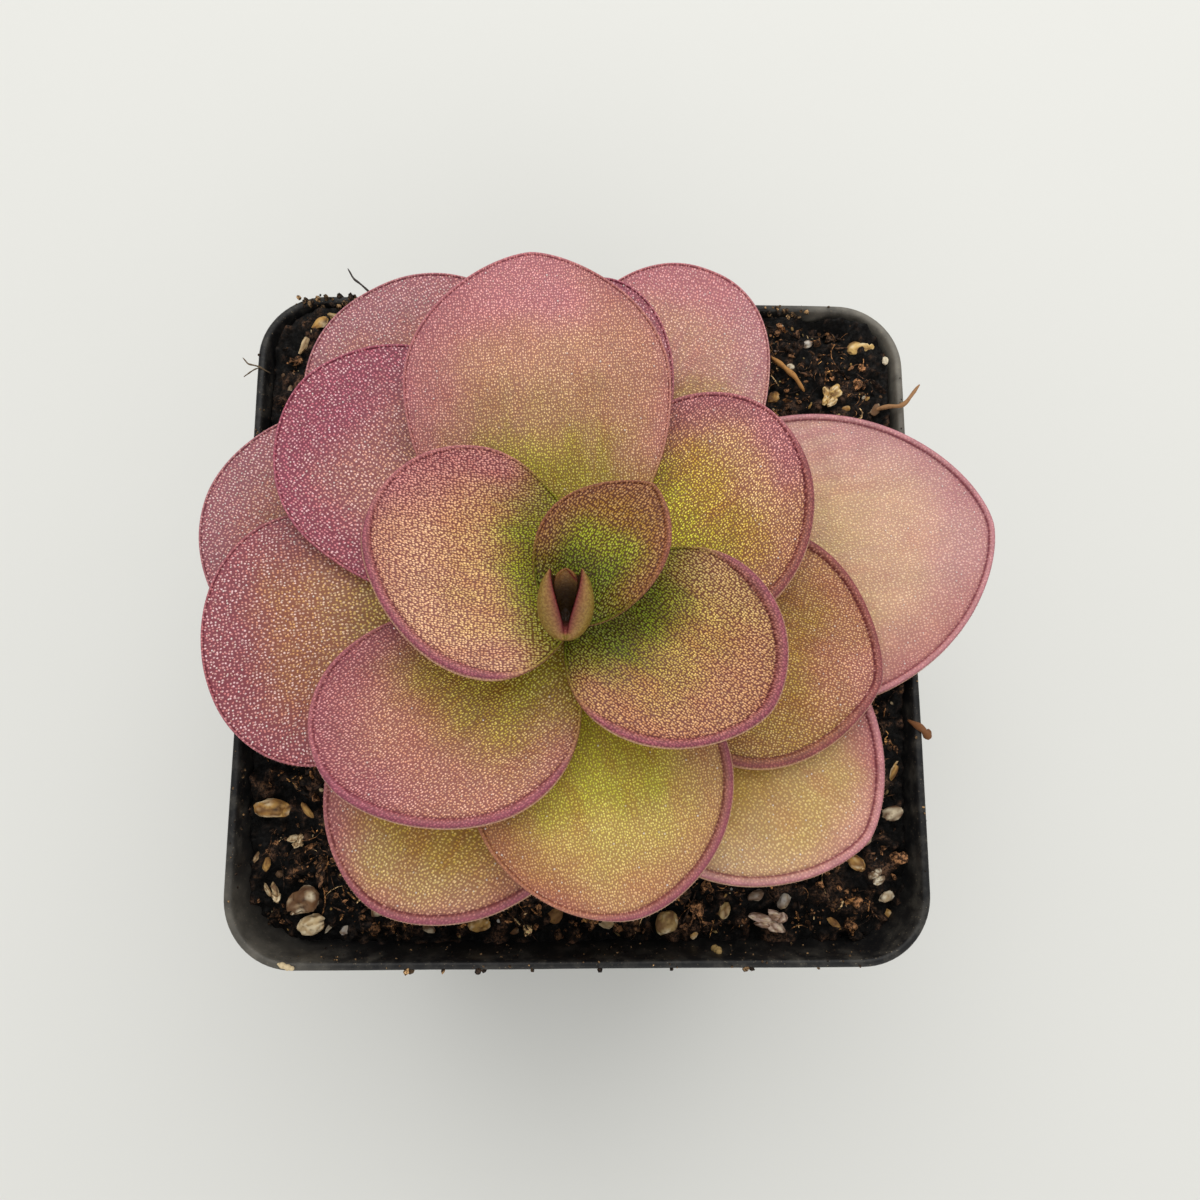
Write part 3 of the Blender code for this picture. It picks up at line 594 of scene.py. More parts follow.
def cell_middles(low_u, high_u, low_v, high_v):
    """The middles of the cells of the leaves' Voronoi texture, in a part of its plane."""
    u, v = np.meshgrid(np.arange(low_u, high_u, 0.35), np.arange(low_v, high_v, 0.35))
    mesh = bpy.data.meshes.new("cell_samples")
    mesh.from_pydata(np.stack([u.ravel(), v.ravel(), 0.0 * u.ravel()], axis=1).tolist(), [], [])
    item = bpy.data.objects.new("cell_samples", mesh)
    bpy.context.scene.collection.objects.link(item)
    group = bpy.data.node_groups.new("cell_samples", "GeometryNodeTree")
    group.interface.new_socket("Geometry", in_out="INPUT", socket_type="NodeSocketGeometry")
    group.interface.new_socket("Geometry", in_out="OUTPUT", socket_type="NodeSocketGeometry")
    start, end = group.nodes.new("NodeGroupInput"), group.nodes.new("NodeGroupOutput")
    place = group.nodes.new("GeometryNodeInputPosition")
    move = group.nodes.new("GeometryNodeSetPosition")
    texture = group.nodes.new("ShaderNodeTexVoronoi")
    texture.voronoi_dimensions = "2D"
    texture.inputs["Scale"].default_value = 1.0
    texture.inputs["Randomness"].default_value = CELL_RANDOMNESS
    group.links.new(place.outputs["Position"], texture.inputs["Vector"])
    group.links.new(texture.outputs["Position"], move.inputs["Position"])
    group.links.new(start.outputs[0], move.inputs["Geometry"])
    group.links.new(move.outputs["Geometry"], end.inputs[0])
    item.modifiers.new("cell_samples", "NODES").node_group = group
    found = item.evaluated_get(bpy.context.evaluated_depsgraph_get()).data
    middles = np.empty(3 * len(found.vertices), np.float32)
    found.vertices.foreach_get("co", middles)
    bpy.data.objects.remove(item, do_unlink=True)
    bpy.data.meshes.remove(mesh)
    bpy.data.node_groups.remove(group)
    return np.unique(np.round(middles.reshape(-1, 3)[:, :2].astype(float), 3), axis=0).T


def build_leaf(leaf, material):
    """The blade: rings from its middle out, over its rolled rim and back along its underside."""
    count = LEAF_POINTS if leaf.width > 20 else SMALL_LEAF_POINTS
    theta = even_angles(leaf, count)
    edge_along, edge_across = leaf_plan(leaf, 1.0, theta)
    span = np.hypot(edge_along - leaf.widest, edge_across)
    roll = local_roll(leaf, edge_along, edge_across)
    rolled = smooth(0.42, 0.8, roll)
    wobble = 0.004 * cloud(rows(2.4 * np.cos(theta), 2.4 * np.sin(theta), leaf.number), 1.0, 29, 2)
    ribs = 1.0 + 0.07 * cloud(rows(theta * span / 0.5, 0.0, leaf.number), 1.0, 31)
    rings = []

    def add_ring(rho, lift, line=0.0, band=0.0, pale=0.0, top=True):
        along, across = leaf_plan(leaf, rho * (1.0 + wobble), theta)
        height = leaf_height(leaf, along, across) + lift + leaf_wave(leaf, theta, rho)
        if top:
            height = height + leaf_relief(leaf, along, across, rho)
        shade = leaf_tint(leaf, along, across, rho)
        shade = mix(shade, mix(shade, PIGMENTS[leaf.rim], 0.85) * ribs[:, None], band * rolled)
        # The pale edge is a painted highlight along the roll's outer edge.
        shade = mix(shade, PIGMENTS["rim_edge_highlight"], 0.85 * pale * rolled)
        line = np.maximum(line * rolled, pale * (1.0 - rolled))
        shade = mix(shade, mix(shade, PIGMENTS["wine"], 0.75), line)
        if not top:
            shade = mix(shade, PIGMENTS["underside"], 0.6)
        grain = leaf.net * (1.0 - 0.55 * band - 0.8 * pale) if top else 0.15
        frost = leaf.frost * smooth(0.25, 0.75, np.maximum(leaf_share(leaf, along), rho)) * (1.0 - band)
        rings.append((rows(*leaf_place(leaf, along, across), POT_HEIGHT + height), leaf_paint(shade),
                      np.full(count, grain), frost, rows(*cell_place(leaf, along, across), 0.0)))

    inner = 1.0 - RIM_SECTION[0][0] * roll / span
    for ring in range(BLADE_RING_COUNT):
        rho = inner * (ring + 0.35) / (BLADE_RING_COUNT - 0.3)
        add_ring(rho, half_thickness(rho))
    for inset, share, rise, more, line, band, pale in RIM_SECTION:
        rho = 1.0 - inset * roll / span
        add_ring(rho, share * half_thickness(rho) + rise * roll + more, line, band, pale, top=share > 0)
    for ring in range(UNDER_RING_COUNT):
        rho = (1.0 - 0.6 * roll / span) * (1.0 - ring / (UNDER_RING_COUNT - 0.3))
        add_ring(rho, -half_thickness(rho), top=False)
    points, tints, grain, frost, cell = (np.concatenate(part) for part in zip(*rings))
    faces = skin_faces(len(rings), count, flip=True)
    return add_mesh(f"leaf_{leaf.number:02d}_blade", material, points, faces, tints, grain=grain, frost=frost,
                    cell=cell)


OCTAHEDRON = np.array([(1, 0, 0), (0, 1, 0), (-1, 0, 0), (0, -1, 0), (0, 0, 1), (0, 0, -1)], float)
OCTAHEDRON_FACES = np.array([(0, 1, 4), (1, 2, 4), (2, 3, 4), (3, 0, 4),
                             (1, 0, 5), (2, 1, 5), (3, 2, 5), (0, 3, 5)])


def beads(centres, radii, turns):
    """Small eight-sided beads, one for each centre."""
    x, y = spun(OCTAHEDRON[None, :, 0], OCTAHEDRON[None, :, 1], turns[:, None])
    z = np.repeat(OCTAHEDRON[None, :, 2], len(centres), axis=0)
    shape = np.stack([x, y, z * 0.95], axis=2) * radii[:, None, None]
    return copies(shape + centres[:, None, :], OCTAHEDRON_FACES)


def build_glands(leaf, material):
    """The glands on a blade's upper side, in its cells' middles, and a finer fringe at its edge."""
    rng = dice(leaf.number)
    long, wide = cell_size(leaf)
    half = 0.5 * leaf.width / wide + 3.0
    goal_u, goal_v = cell_middles(leaf.start / long - 3.0, leaf.reach / long + 3.0, -half, half)
    along, across = goal_u * long, goal_v * wide
    for _ in range(FITTING_ROUNDS):
        u, v = cell_place(leaf, along, across)
        along, across = along + (goal_u - u) * long, across + (goal_v - v) * wide
    rho = leaf_rho(leaf, along, across)
    span = np.maximum(np.hypot(along - leaf.widest, across) / rho, 1.0)
    keep = rho < 1.0 - 1.4 * local_roll(leaf, along, across) / span
    keep &= rng.random(len(rho)) < 0.36 * long * wide / 0.09
    x, y = leaf_place(leaf, along, across)
    for younger in LEAVES[:leaf.number - 1]:
        keep &= leaf_rho(younger, *leaf_unplace(younger, x, y)) > 0.86
    along, across, rho, x, y = (values[keep] for values in (along, across, rho, x, y))
    theta = np.arctan2(across / (0.5 * leaf.width), (along - leaf.widest) / (leaf.reach - leaf.widest))
    height = (leaf_height(leaf, along, across) + half_thickness(rho)
              + leaf_relief(leaf, along, across, rho) + leaf_wave(leaf, theta, rho))
    size = rng.uniform(0.05, 0.1, len(x))
    pale = rng.uniform(0.05, 0.45, len(x)) + 0.35 * leaf.frost * smooth(0.3, 0.8, rho)
    shade = mix(leaf_tint(leaf, along, across, rho) * 1.15, np.array([0.95, 0.87, 0.78]), pale)
    # Glands that hold a drop are painted towards near-white as a painted glint, and made larger.
    wet = rng.random(len(x)) < leaf.dew * (0.4 + 1.6 * smooth(0.3, 0.9, rho))
    shade = np.where(wet[:, None], mix(shade, PIGMENTS["dew"], rng.uniform(0.3, 0.9, len(x))), shade)
    size = np.where(wet, size * 1.4, size)
    centres = rows(x, y, POT_HEIGHT + height + 0.2 * size)

    theta = even_angles(leaf, int(3.6 * (leaf.reach - leaf.start + leaf.width)))
    along, across = leaf_plan(leaf, 1.0, theta)
    count = len(theta)
    lift = rng.uniform(0.05, 0.4, count) * local_roll(leaf, along, across)
    z = POT_HEIGHT + leaf_height(leaf, along, across) + leaf_wave(leaf, theta, 1.0) + lift
    size = np.concatenate([size, rng.uniform(0.035, 0.06, count)])
    # The fringe beads take on in part the pale edge's painted highlight.
    fringe = mix(leaf_tint(leaf, along, across, np.ones(count)), PIGMENTS["rim_edge_highlight"],
                 rng.uniform(0.3, 0.8, count))
    centres = np.concatenate([centres, rows(*leaf_place(leaf, along, across), z)])
    points, faces = beads(centres, size, rng.uniform(0.0, math.pi, len(size)))
    shade = leaf_paint(np.concatenate([shade, fringe]))
    return add_mesh(f"leaf_{leaf.number:02d}_glands", material, points, faces, spread(shade, points))


# The folded young leaf
def bud_section(share):
    """Half width, slot half width and top height of the folded leaf, from its near tip."""
    round_off = math.sqrt(max(0.0, 1.0 - (1.0 - min(share / 0.55, 1.0)) ** 2))
    draw_in = 1.0 - 0.16 * float(smooth(0.55, 1.0, share))
    half = BUD_HALF_WIDTH * max(0.08, round_off) * draw_in
    slot = min(BUD_SLOT * float(smooth(-0.05, 1.0, share)) + 0.05, half - BUD_WALL * 0.5)
    slot = max(slot, 0.06)
    half = slot + (half - slot) * math.sqrt(max(0.02, 1.0 - max(0.0, (share - 0.8) / 0.2) ** 2))
    top = BUD_HEIGHT * (0.62 + 0.38 * float(smooth(0.0, 0.6, share)))
    return half, slot, top


def closed_curve(points, steps):
    """A smooth closed curve through rows of points, with some steps for each stretch."""
    before, after, later = np.roll(points, 1, 0), np.roll(points, -1, 0), np.roll(points, -2, 0)
    rows = []
    for u in np.arange(steps) / steps:
        rows.append(0.5 * (2 * points + (after - before) * u
                           + (2 * before - 5 * points + 4 * after - later) * u * u
                           + (3 * points - before - 3 * after + later) * u ** 3))
    return np.stack(rows, axis=1).reshape(-1, points.shape[1])


def build_bud(material):
    """The folded leaf, with its swollen lips, the red line along them and its slot, darkened inward with
    painted shade.
    """
    outside, lip, line, keel = map(linear, ((132, 110, 48), (148, 96, 66), (88, 16, 24), (108, 104, 36)))
    seam, slot_side_shade, slot_floor_shade = map(linear, ((138, 66, 62), (92, 56, 22), (52, 32, 10)))
    points, tints = [], []
    for share in 0.5 - 0.5 * np.cos(np.linspace(0.0, math.pi, BUD_STATIONS)):
        half, slot, top = bud_section(share)
        depth = 0.12 + (top - BUD_WALL - 0.12) * float(smooth(0.06, 0.36, share))
        low = (1.0 - float(smooth(0.0, 0.45, share))) * 1.6
        right = [(0.0, low), (0.55 * half, low + 0.1), (0.95 * half, low + 0.28 * top),
                 (half, 0.62 * top), (0.9 * half, 0.9 * top), (0.5 * (half + slot), 1.01 * top),
                 (slot + 0.15 * (half - slot), 0.99 * top), (slot, 0.94 * top),
                 (slot * 0.97, 0.97 * top - 0.4 * depth), (slot * 0.8, top - depth),
                 (0.0, top - depth - 0.05)]
        curve = closed_curve(np.array(right + [(-x, z) for x, z in right[-2:0:-1]]), BUD_STEPS)
        y = BUD_Y + BUD_NEAR + (BUD_FAR - BUD_NEAR) * share
        points.append(rows(BUD_X + curve[:, 0], y, POT_HEIGHT + BUD_FLOOR + BUD_SLOPE * y + curve[:, 1]))
        # Painted shade: a short way along the bud the slot's sides and floor turn dark, the floor darkest, as
        # shade falls inside it.
        dark, rosy = float(smooth(0.14, 0.34, share)), float(smooth(0.05, 0.12, share))
        wall = mix(outside, seam, rosy)
        side, bottom = mix(wall, slot_side_shade, dark), mix(wall, slot_floor_shade, dark)
        # Pigments for each point of the section, from the keel up and into the slot
        paints = [keel, mix(keel, outside, 0.6), outside, outside, outside, mix(outside, lip, 0.4),
                  mix(mix(outside, lip, rosy), line, 0.55 * rosy), mix(outside, line, rosy), side,
                  bottom, bottom]
        tints.append(np.clip(closed_curve(np.array(paints + paints[-2:0:-1]), BUD_STEPS), 0.0, 1.0))
    count = len(points[0])
    faces = skin_faces(len(points), count)[:-1]
    last = (len(points) - 1) * count
    # The far end is closed in strips between the outside of each wall and the slot
    for side in (1, -1):
        outer = [last + (side * i) % count for i in range(count // 2 + 1)]
        low, high = outer[:count // 4 + 1], outer[count // 4:][::-1]
        for i in range(min(len(low), len(high)) - 1):
            faces.append((low[i], low[i + 1], high[i + 1], high[i])[::side])
    return add_mesh("bud_fold", material, np.concatenate(points), faces, np.concatenate(tints))


def build_bud_heart(material):
    """The next leaf inside the bud: a small hollow blade with a red edge that meets in a point."""
    path = eased([(-0.9, 0.6, 0.4), (0.1, 1.5, 0.75), (1.0, 2.5, 1.0), (1.6, 3.2, 1.1), (2.05, 3.65, 0.92),
                  (2.45, 4.0, 0.5), (2.75, 4.25, 0.05)], HEART_ROWS, 1)
    deep_shade, khaki, red = linear((54, 36, 12)), linear((128, 90, 44)), linear((92, 16, 24))
    across = np.linspace(-1.0, 1.0, HEART_COLUMNS)
    bow = across * across
    points, tints = [], []
    for i, (y, z, half) in enumerate(path):
        y = BUD_Y + y
        z = POT_HEIGHT + BUD_FLOOR + BUD_SLOPE * y + z
        curl = 0.3 * min(1.0, half / 0.6)
        wall = TONGUE_WALL * min(1.0, 0.2 + half)
        front = rows(BUD_X + half * across, y + curl * (1 - bow) - 0.1, z + 0.35 * curl * bow)
        rear = front + rows(0.0 * across, 0.5 * wall, -0.6 * wall * (1 - 0.5 * bow))
        points += [front, rear[::-1]]
        grade = i / (HEART_ROWS - 1)
        # Painted shade: the blade is dark brown in its lowest rows, deep in the bud, and lightens to khaki
        # towards its point.
        body = mix(deep_shade, khaki, float(smooth(0.25, 0.85, grade)))
        # A dark red fold runs from the point down to the right
        fold = smooth(0.3, 0.12, np.abs(across - 2.4 * (0.98 - grade))) * float(smooth(0.5, 0.62, grade))
        tints += [mix(np.tile(body, (HEART_COLUMNS, 1)), red, 0.9 * fold),
                  np.tile(mix(khaki, red, 0.3), (HEART_COLUMNS, 1))]
    faces = skin_faces(HEART_ROWS, 2 * HEART_COLUMNS, flip=True)
    return add_mesh("bud_heart", material, np.concatenate(points), faces, np.concatenate(tints))


# Pot
def inside(z):
    """Half the pot's inside width, and the radius of its corners, at a height."""
    share = (z - FLOOR) / (POT_HEIGHT - FLOOR)
    return (BASE_HALF - WALL + (RIM_HALF - LIP_WALL - BASE_HALF + WALL) * share,
            BASE_CORNER - WALL + (RIM_CORNER - LIP_WALL - BASE_CORNER + WALL) * share)


def square_ring(half, corner, z):
    """A square with round corners, counter-clockwise, with divided sides."""
    flat = half - corner
    angle = np.radians(90 * np.arange(CORNER_STEPS + 1) / CORNER_STEPS)
    side = flat - 2.0 * flat * np.arange(1, SIDE_STEPS) / SIDE_STEPS
    x = np.concatenate([flat + corner * np.cos(angle), side])
    y = np.concatenate([flat + corner * np.sin(angle), np.full(len(side), half)])
    return np.concatenate([rows(*spun(x, y, math.radians(turn)), z) for turn in (0, 90, 180, 270)])


def build_pot(material):
    """The pot with smooth corners, a rounded lip and thin walls that bow very slightly."""
    band = POT_HEIGHT - RIM_BAND
    under_band = inside(band)[0] + WALL
    rings = [(BASE_HALF - inset, BASE_CORNER - inset, z)
             for inset, z in ((1.0, 0.0), (0.62, 0.08), (0.29, 0.29), (0.08, 0.62), (0.0, 1.0))]
    for share in np.arange(1, 9) / 9:
        rings.append((BASE_HALF + (under_band - BASE_HALF) * share,
                      BASE_CORNER + (RIM_CORNER - 1.0 - BASE_CORNER) * share,
                      1.0 + (band - RIM_STEP - 1.0) * share))
    rings += [(under_band, RIM_CORNER - 1.0, band - RIM_STEP),
              (under_band + 0.2, RIM_CORNER - 0.8, band - 0.68)]
    rings += [(RIM_HALF - inset, RIM_CORNER - corner, POT_HEIGHT - down)
              for inset, corner, down in LIP_SECTION]
    rings += [(*inside(z), z) for z in INNER_WALL_HEIGHTS]
    rings += [(inside(2.2)[0] - 0.1, inside(2.2)[1], 2.2), (inside(FLOOR)[0] - 0.6, inside(FLOOR)[1], FLOOR)]
    points = np.concatenate([square_ring(*ring) for ring in rings])
    bow = 0.12 * cloud(points * np.array([1.0, 1.0, 0.4]), 17.0, 61, 2) * smooth(3.0, 40.0, points[:, 2])
    away = points[:, :2] / np.linalg.norm(points[:, :2], axis=1)[:, None]
    points[:, :2] -= np.abs(bow)[:, None] * away
    pot = add_mesh("pot_shell", material, points, skin_faces(len(rings), len(points) // len(rings)))
    for x in (-DRAIN_PLACE, DRAIN_PLACE):
        for y in (-DRAIN_PLACE, DRAIN_PLACE):
            bpy.ops.mesh.primitive_cylinder_add(vertices=DRAIN_SIDES, radius=DRAIN_RADIUS * MM, depth=8 * MM,
                                                location=(x * MM, y * MM, 0.0))
            cutter = bpy.context.object
            cut = pot.modifiers.new("drain", "BOOLEAN")
            cut.operation = "DIFFERENCE"
            cut.object = cutter
            bpy.context.view_layer.objects.active = pot
            bpy.ops.object.modifier_apply(modifier=cut.name)
            bpy.data.objects.remove(cutter, do_unlink=True)
    pot.data.shade_smooth()
    pot.data.set_sharp_from_angle(angle=math.radians(SHARP_ANGLE))
    return pot


# Soil
def soil_level(x, y):
    """The soil's surface, as in the solids, at rows of places."""
    levels = []
    for a, b in zip(x, y):
        share = 0.5 + 0.5 * b / RIM_HALF
        depth = SOIL_FAR + (SOIL_NEAR - SOIL_FAR) * (1.0 - min(max(share, 0.0), 1.0)) ** SOIL_FALL_POWER
        spot = Vector((a, b, 0.0)) / SOIL_LUMP_LENGTH
        lump = noise.noise(spot) + 0.5 * noise.noise(spot * 2.3 + Vector((7.0, 3.0, 1.0)))
        near_crown = 1.0 - float(smooth(8.0, 22.0, math.hypot(a - CROWN_X, b)))
        levels.append(POT_HEIGHT - depth + SOIL_LUMP * lump - 1.2 * near_crown)
    return np.array(levels)


def soil_heap(x, y):
    """How far the soil is heaped against the far wall and the right one."""
    return 1.35 * smooth(28.0, 34.0, y) + 0.5 * smooth(30.0, 35.0, x) * smooth(-10.0, 20.0, y)


def ground(x, y):
    """The soil's surface with its lumps and crevices, at rows of places."""
    spots = rows(x, y, 0.0)
    bent = spots + 0.7 * rows(cloud(spots, 1.4, 67, 2), cloud(spots, 1.4, 68, 2), 0.0)
    lumps = 1.9 * np.abs(cloud(bent, 3.1, 71, 2)) + 1.5 * np.abs(cloud(bent, 1.3, 73, 2))
    room = 0.45 + 0.55 * smooth(1.0, -1.0, y / 30.0)
    hollow = 2.0 * np.exp(-((x - 28.8) / 2.9) ** 2 - ((y + 0.25 * (x - 28.8) - 34.9) / 1.1) ** 2)
    return (soil_level(x, y) + soil_heap(x, y) - hollow + (lumps - 0.95) * room
            + 0.6 * cloud(spots, 0.75, 75, 2) - 0.15)


def build_soil(material):
    """The soil's body: a fine grid on top, fitted to the pot's inside, and a skirt down to its base."""
    half, corner = inside(POT_HEIGHT - 3.0)
    half -= 0.15
    flat = half - corner
    u, v = (w.ravel() for w in np.meshgrid(*2 * [np.linspace(-1, 1, SOIL_GRID)]))
    reach = np.maximum(np.maximum(np.abs(u), np.abs(v)), 1e-9)
    x, y = u / reach * half, v / reach * half
    over_x, over_y = np.abs(x) - flat, np.abs(y) - flat
    in_corner = (over_x > 0) & (over_y > 0)
    angle = np.arctan2(over_y, over_x)
    x = np.where(in_corner, np.sign(x) * (flat + corner * np.cos(angle)), x) * reach
    y = np.where(in_corner, np.sign(y) * (flat + corner * np.sin(angle)), y) * reach
    points = rows(x, y, ground(x, y))
    grid = np.arange(SOIL_GRID ** 2).reshape(SOIL_GRID, SOIL_GRID)
    faces = np.stack([grid[:-1, :-1], grid[:-1, 1:], grid[1:, 1:], grid[1:, :-1]], axis=2)
    faces = faces.reshape(-1, 4).tolist()
    border = np.concatenate([grid[0, :-1], grid[:-1, -1], grid[-1, :0:-1], grid[:0:-1, 0]])
    low = FLOOR + SEAT
    skirt = points[border] * (inside(low)[0] - SEAT) / half
    skirt[:, 2] = low
    first, count = len(points), len(border)
    i = np.arange(count)
    j = (i + 1) % count
    faces += rows(border[j], border[i], first + i, first + j).tolist()
    faces.append(list(range(first + count - 1, first - 1, -1)))
    depth = np.concatenate([points[:, 2] - soil_level(x, y) - soil_heap(x, y), np.zeros(count)])
    points = np.concatenate([points, skirt])
    # Painted shade: the surface is painted near-black where it lies low, in its hollows, and brown where it
    # stands high; the lighter brown patches go only on the high parts.
    tone = smooth(-0.35, 0.75, depth + 0.6 * cloud(points, 0.8, 77, 3))
    tints = mix(linear((5, 4, 3)), linear((66, 48, 36)), tone ** 1.5)
    tints = mix(tints, linear((120, 86, 54)), 0.6 * smooth(0.4, 0.8, cloud(points, 0.7, 79, 2)) * tone)
    return add_mesh("soil_surface", material, points, faces, tints)


def ball(subdivisions):
    """Points and triangles of a round ball of radius 1."""
    work = bmesh.new()
    bmesh.ops.create_icosphere(work, subdivisions=subdivisions, radius=1.0)
    points = np.array([v.co[:] for v in work.verts])
    faces = np.array([[v.index for v in f.verts] for f in work.faces])
    work.free()
    return points, faces


def random_turns(rng, count):
    """Random rotation matrices, from random unit quaternions."""
    q = rng.normal(size=(count, 4))
    w, x, y, z = (q / np.linalg.norm(q, axis=1)[:, None]).T
    return np.stack([
        np.stack([1 - 2 * (y * y + z * z), 2 * (x * y - z * w), 2 * (x * z + y * w)], axis=1),
        np.stack([2 * (x * y + z * w), 1 - 2 * (x * x + z * z), 2 * (y * z - x * w)], axis=1),
        np.stack([2 * (x * z - y * w), 2 * (y * z + x * w), 1 - 2 * (x * x + y * y)], axis=1)], axis=1)


def soil_places(rng, count, half=35.6):
    """Random places on the soil, fewer of them far in under the leaves."""
    places = []
    taken = [(c.x, c.y, 0.5 * c.length + 0.35) for c in CHIPS + LITTER]
    while len(places) < count:
        x, y = rng.uniform(-half, half, 2)
        if min(abs(x), abs(y)) > half - 5.0 and math.hypot(abs(x) - half + 5.0, abs(y) - half + 5.0) > 5.0:
            continue
        if any(abs(x - a) < r and abs(y - b) < r for a, b, r in taken):
            continue
        inward = math.hypot(x - CROWN_X, y)
        if inward < 5.0 or rng.random() > 0.25 + 0.75 * float(smooth(18.0, 32.0, inward)):
            continue
        places.append((x, y))
    return np.array(places)


def crumbs(rng, subdivisions, places, sizes, roughness, sink, lean=1.0):
    """Rough lumps at places on the soil: their points and triangles. A lean of 0 lays them flat."""
    shape, faces = ball(subdivisions)
    count = len(places)
    spots = (shape[None] * 1.6 + rng.uniform(0.0, 60.0, (count, 1, 3))).reshape(-1, 3)
    swell = 1.0 + roughness * cloud(spots, 1.0, 83, 2).reshape(count, -1)
    for _ in range(LUMP_CUTS):
        normal = rng.normal(size=(count, 3))
        normal /= np.linalg.norm(normal, axis=1)[:, None]
        across = np.maximum(np.einsum("pj,nj->np", shape, normal), 1e-3)
        swell = np.minimum(swell, rng.uniform(0.5, 1.0, (count, 1)) / across)
    points = shape[None] * swell[:, :, None] * sizes[:, None, :]
    turned = np.einsum("nij,nkj->nki", random_turns(rng, count), points)
    spin = rng.uniform(0.0, 2.0 * math.pi, (count, 1))
    tilt = rng.normal(0.0, 0.3, (count, 2, 1))
    flat = np.stack([*spun(points[:, :, 0], points[:, :, 1], spin), points[:, :, 2]], axis=2)
    flat[:, :, 2] += tilt[:, 0] * flat[:, :, 0] + tilt[:, 1] * flat[:, :, 1]
    x, y = places.T
    middles = rows(x, y, ground(x, y) - sink * sizes.min(axis=1))
    return copies(lean * turned + (1.0 - lean) * flat + middles[:, None, :], faces)


def palette(rng, count, colours, shares):
    """Linear colours picked by chance, with a share for each."""
    return np.array([linear(colour) for colour in colours])[rng.choice(len(colours), count, p=shares)]


def spread(shade, points, grade=1.0):
    """Each bit's colour at all of its points, times a grade for each point."""
    return np.repeat(shade, len(points) // len(shade), axis=0) * np.reshape(grade, (-1, 1))


def build_clods(material):
    """Crumbs of peat, large and small."""
    rng = dice(101)
    parts = []
    for subdivisions, count, low, high in ((2, LARGE_CLODS, 0.3, 1.1), (1, SMALL_CLODS, 0.12, 0.55)):
        places = soil_places(rng, count)
        size = low + (high - low) * rng.random(count) ** 2.0
        sizes = size[:, None] * rng.uniform(0.45, 1.1, (count, 3))
        points, faces = crumbs(rng, subdivisions, places, sizes, 1.1, -0.35)
        shade = mix(linear((16, 12, 9)), linear((138, 100, 68)), rng.random(count) ** 2.0)
        grade = 0.55 + 0.9 * smooth(-0.6, 0.6, cloud(points, 0.5, 85, 2))
        parts.append((points, faces, spread(shade, points, grade)))
    return add_mesh("soil_clods", material, *join(parts), soft=False)


def build_shreds(material):
    """Flat torn bits of bark and coir lying every way on the peat."""
    rng = dice(121)
    places = soil_places(rng, SHREDS, 35.2)
    length = 0.3 + 1.6 * rng.random(SHREDS) ** 2.4
    sizes = rows(length, length * rng.uniform(0.14, 0.45, SHREDS), rng.uniform(0.05, 0.2, SHREDS))
    points, faces = crumbs(rng, 1, places, sizes, 0.7, -2.6, lean=0.55)
    shade = palette(rng, SHREDS, ((44, 32, 25), (86, 62, 44), (138, 98, 60), (182, 138, 84), (214, 186, 138)),
                    [0.34, 0.28, 0.21, 0.11, 0.06])
    grade = 0.6 + 0.7 * smooth(-0.5, 0.5, cloud(points, 0.4, 87, 2))
    return add_mesh("soil_shreds", material, points, faces, spread(shade, points, grade), soft=False)


def build_flecks(material):
    """Small bright grains of perlite, wood and sand among the peat."""
    rng = dice(131)
    places = soil_places(rng, FLECKS)
    size = 0.08 + 0.42 * rng.random(FLECKS) ** 3.2
    points, faces = crumbs(rng, 1, places, size[:, None] * rng.uniform(0.4, 1.3, (FLECKS, 3)), 0.5, -0.4)
    shade = palette(rng, FLECKS, [LITTER_COLOURS[key] for key in sorted(LITTER_COLOURS)],
                    [0.26, 0.18, 0.2, 0.06, 0.1, 0.08, 0.04, 0.08])
    shade = shade * rng.uniform(0.4, 1.0, FLECKS)[:, None]
    return add_mesh("soil_flecks", material, points, faces, spread(shade, points), soft=False)


def tubes(paths, radii, sides):
    """Closed round tubes along paths of equal length: their points and faces."""
    count, steps, _ = paths.shape
    ahead = np.concatenate([paths[:, 1:2] - paths[:, :1], paths[:, 2:] - paths[:, :-2],
                            paths[:, -1:] - paths[:, -2:-1]], axis=1)
    ahead /= np.linalg.norm(ahead, axis=2)[:, :, None] + 1e-9
    side = np.cross(ahead, np.array([0.13, 0.21, 0.97]))
    side /= np.linalg.norm(side, axis=2)[:, :, None] + 1e-9
    top = np.cross(side, ahead)
    angle = (2.0 * math.pi * np.arange(sides) / sides)[:, None]
    ring = side[:, :, None, :] * np.cos(angle) + top[:, :, None, :] * np.sin(angle)
    points = paths[:, :, None, :] + ring * radii[:, :, None, None]
    each = skin_faces(steps, sides, flip=True)
    faces = [[i + n * steps * sides for i in face] for n in range(count) for face in each]
    return points.reshape(-1, 3), faces


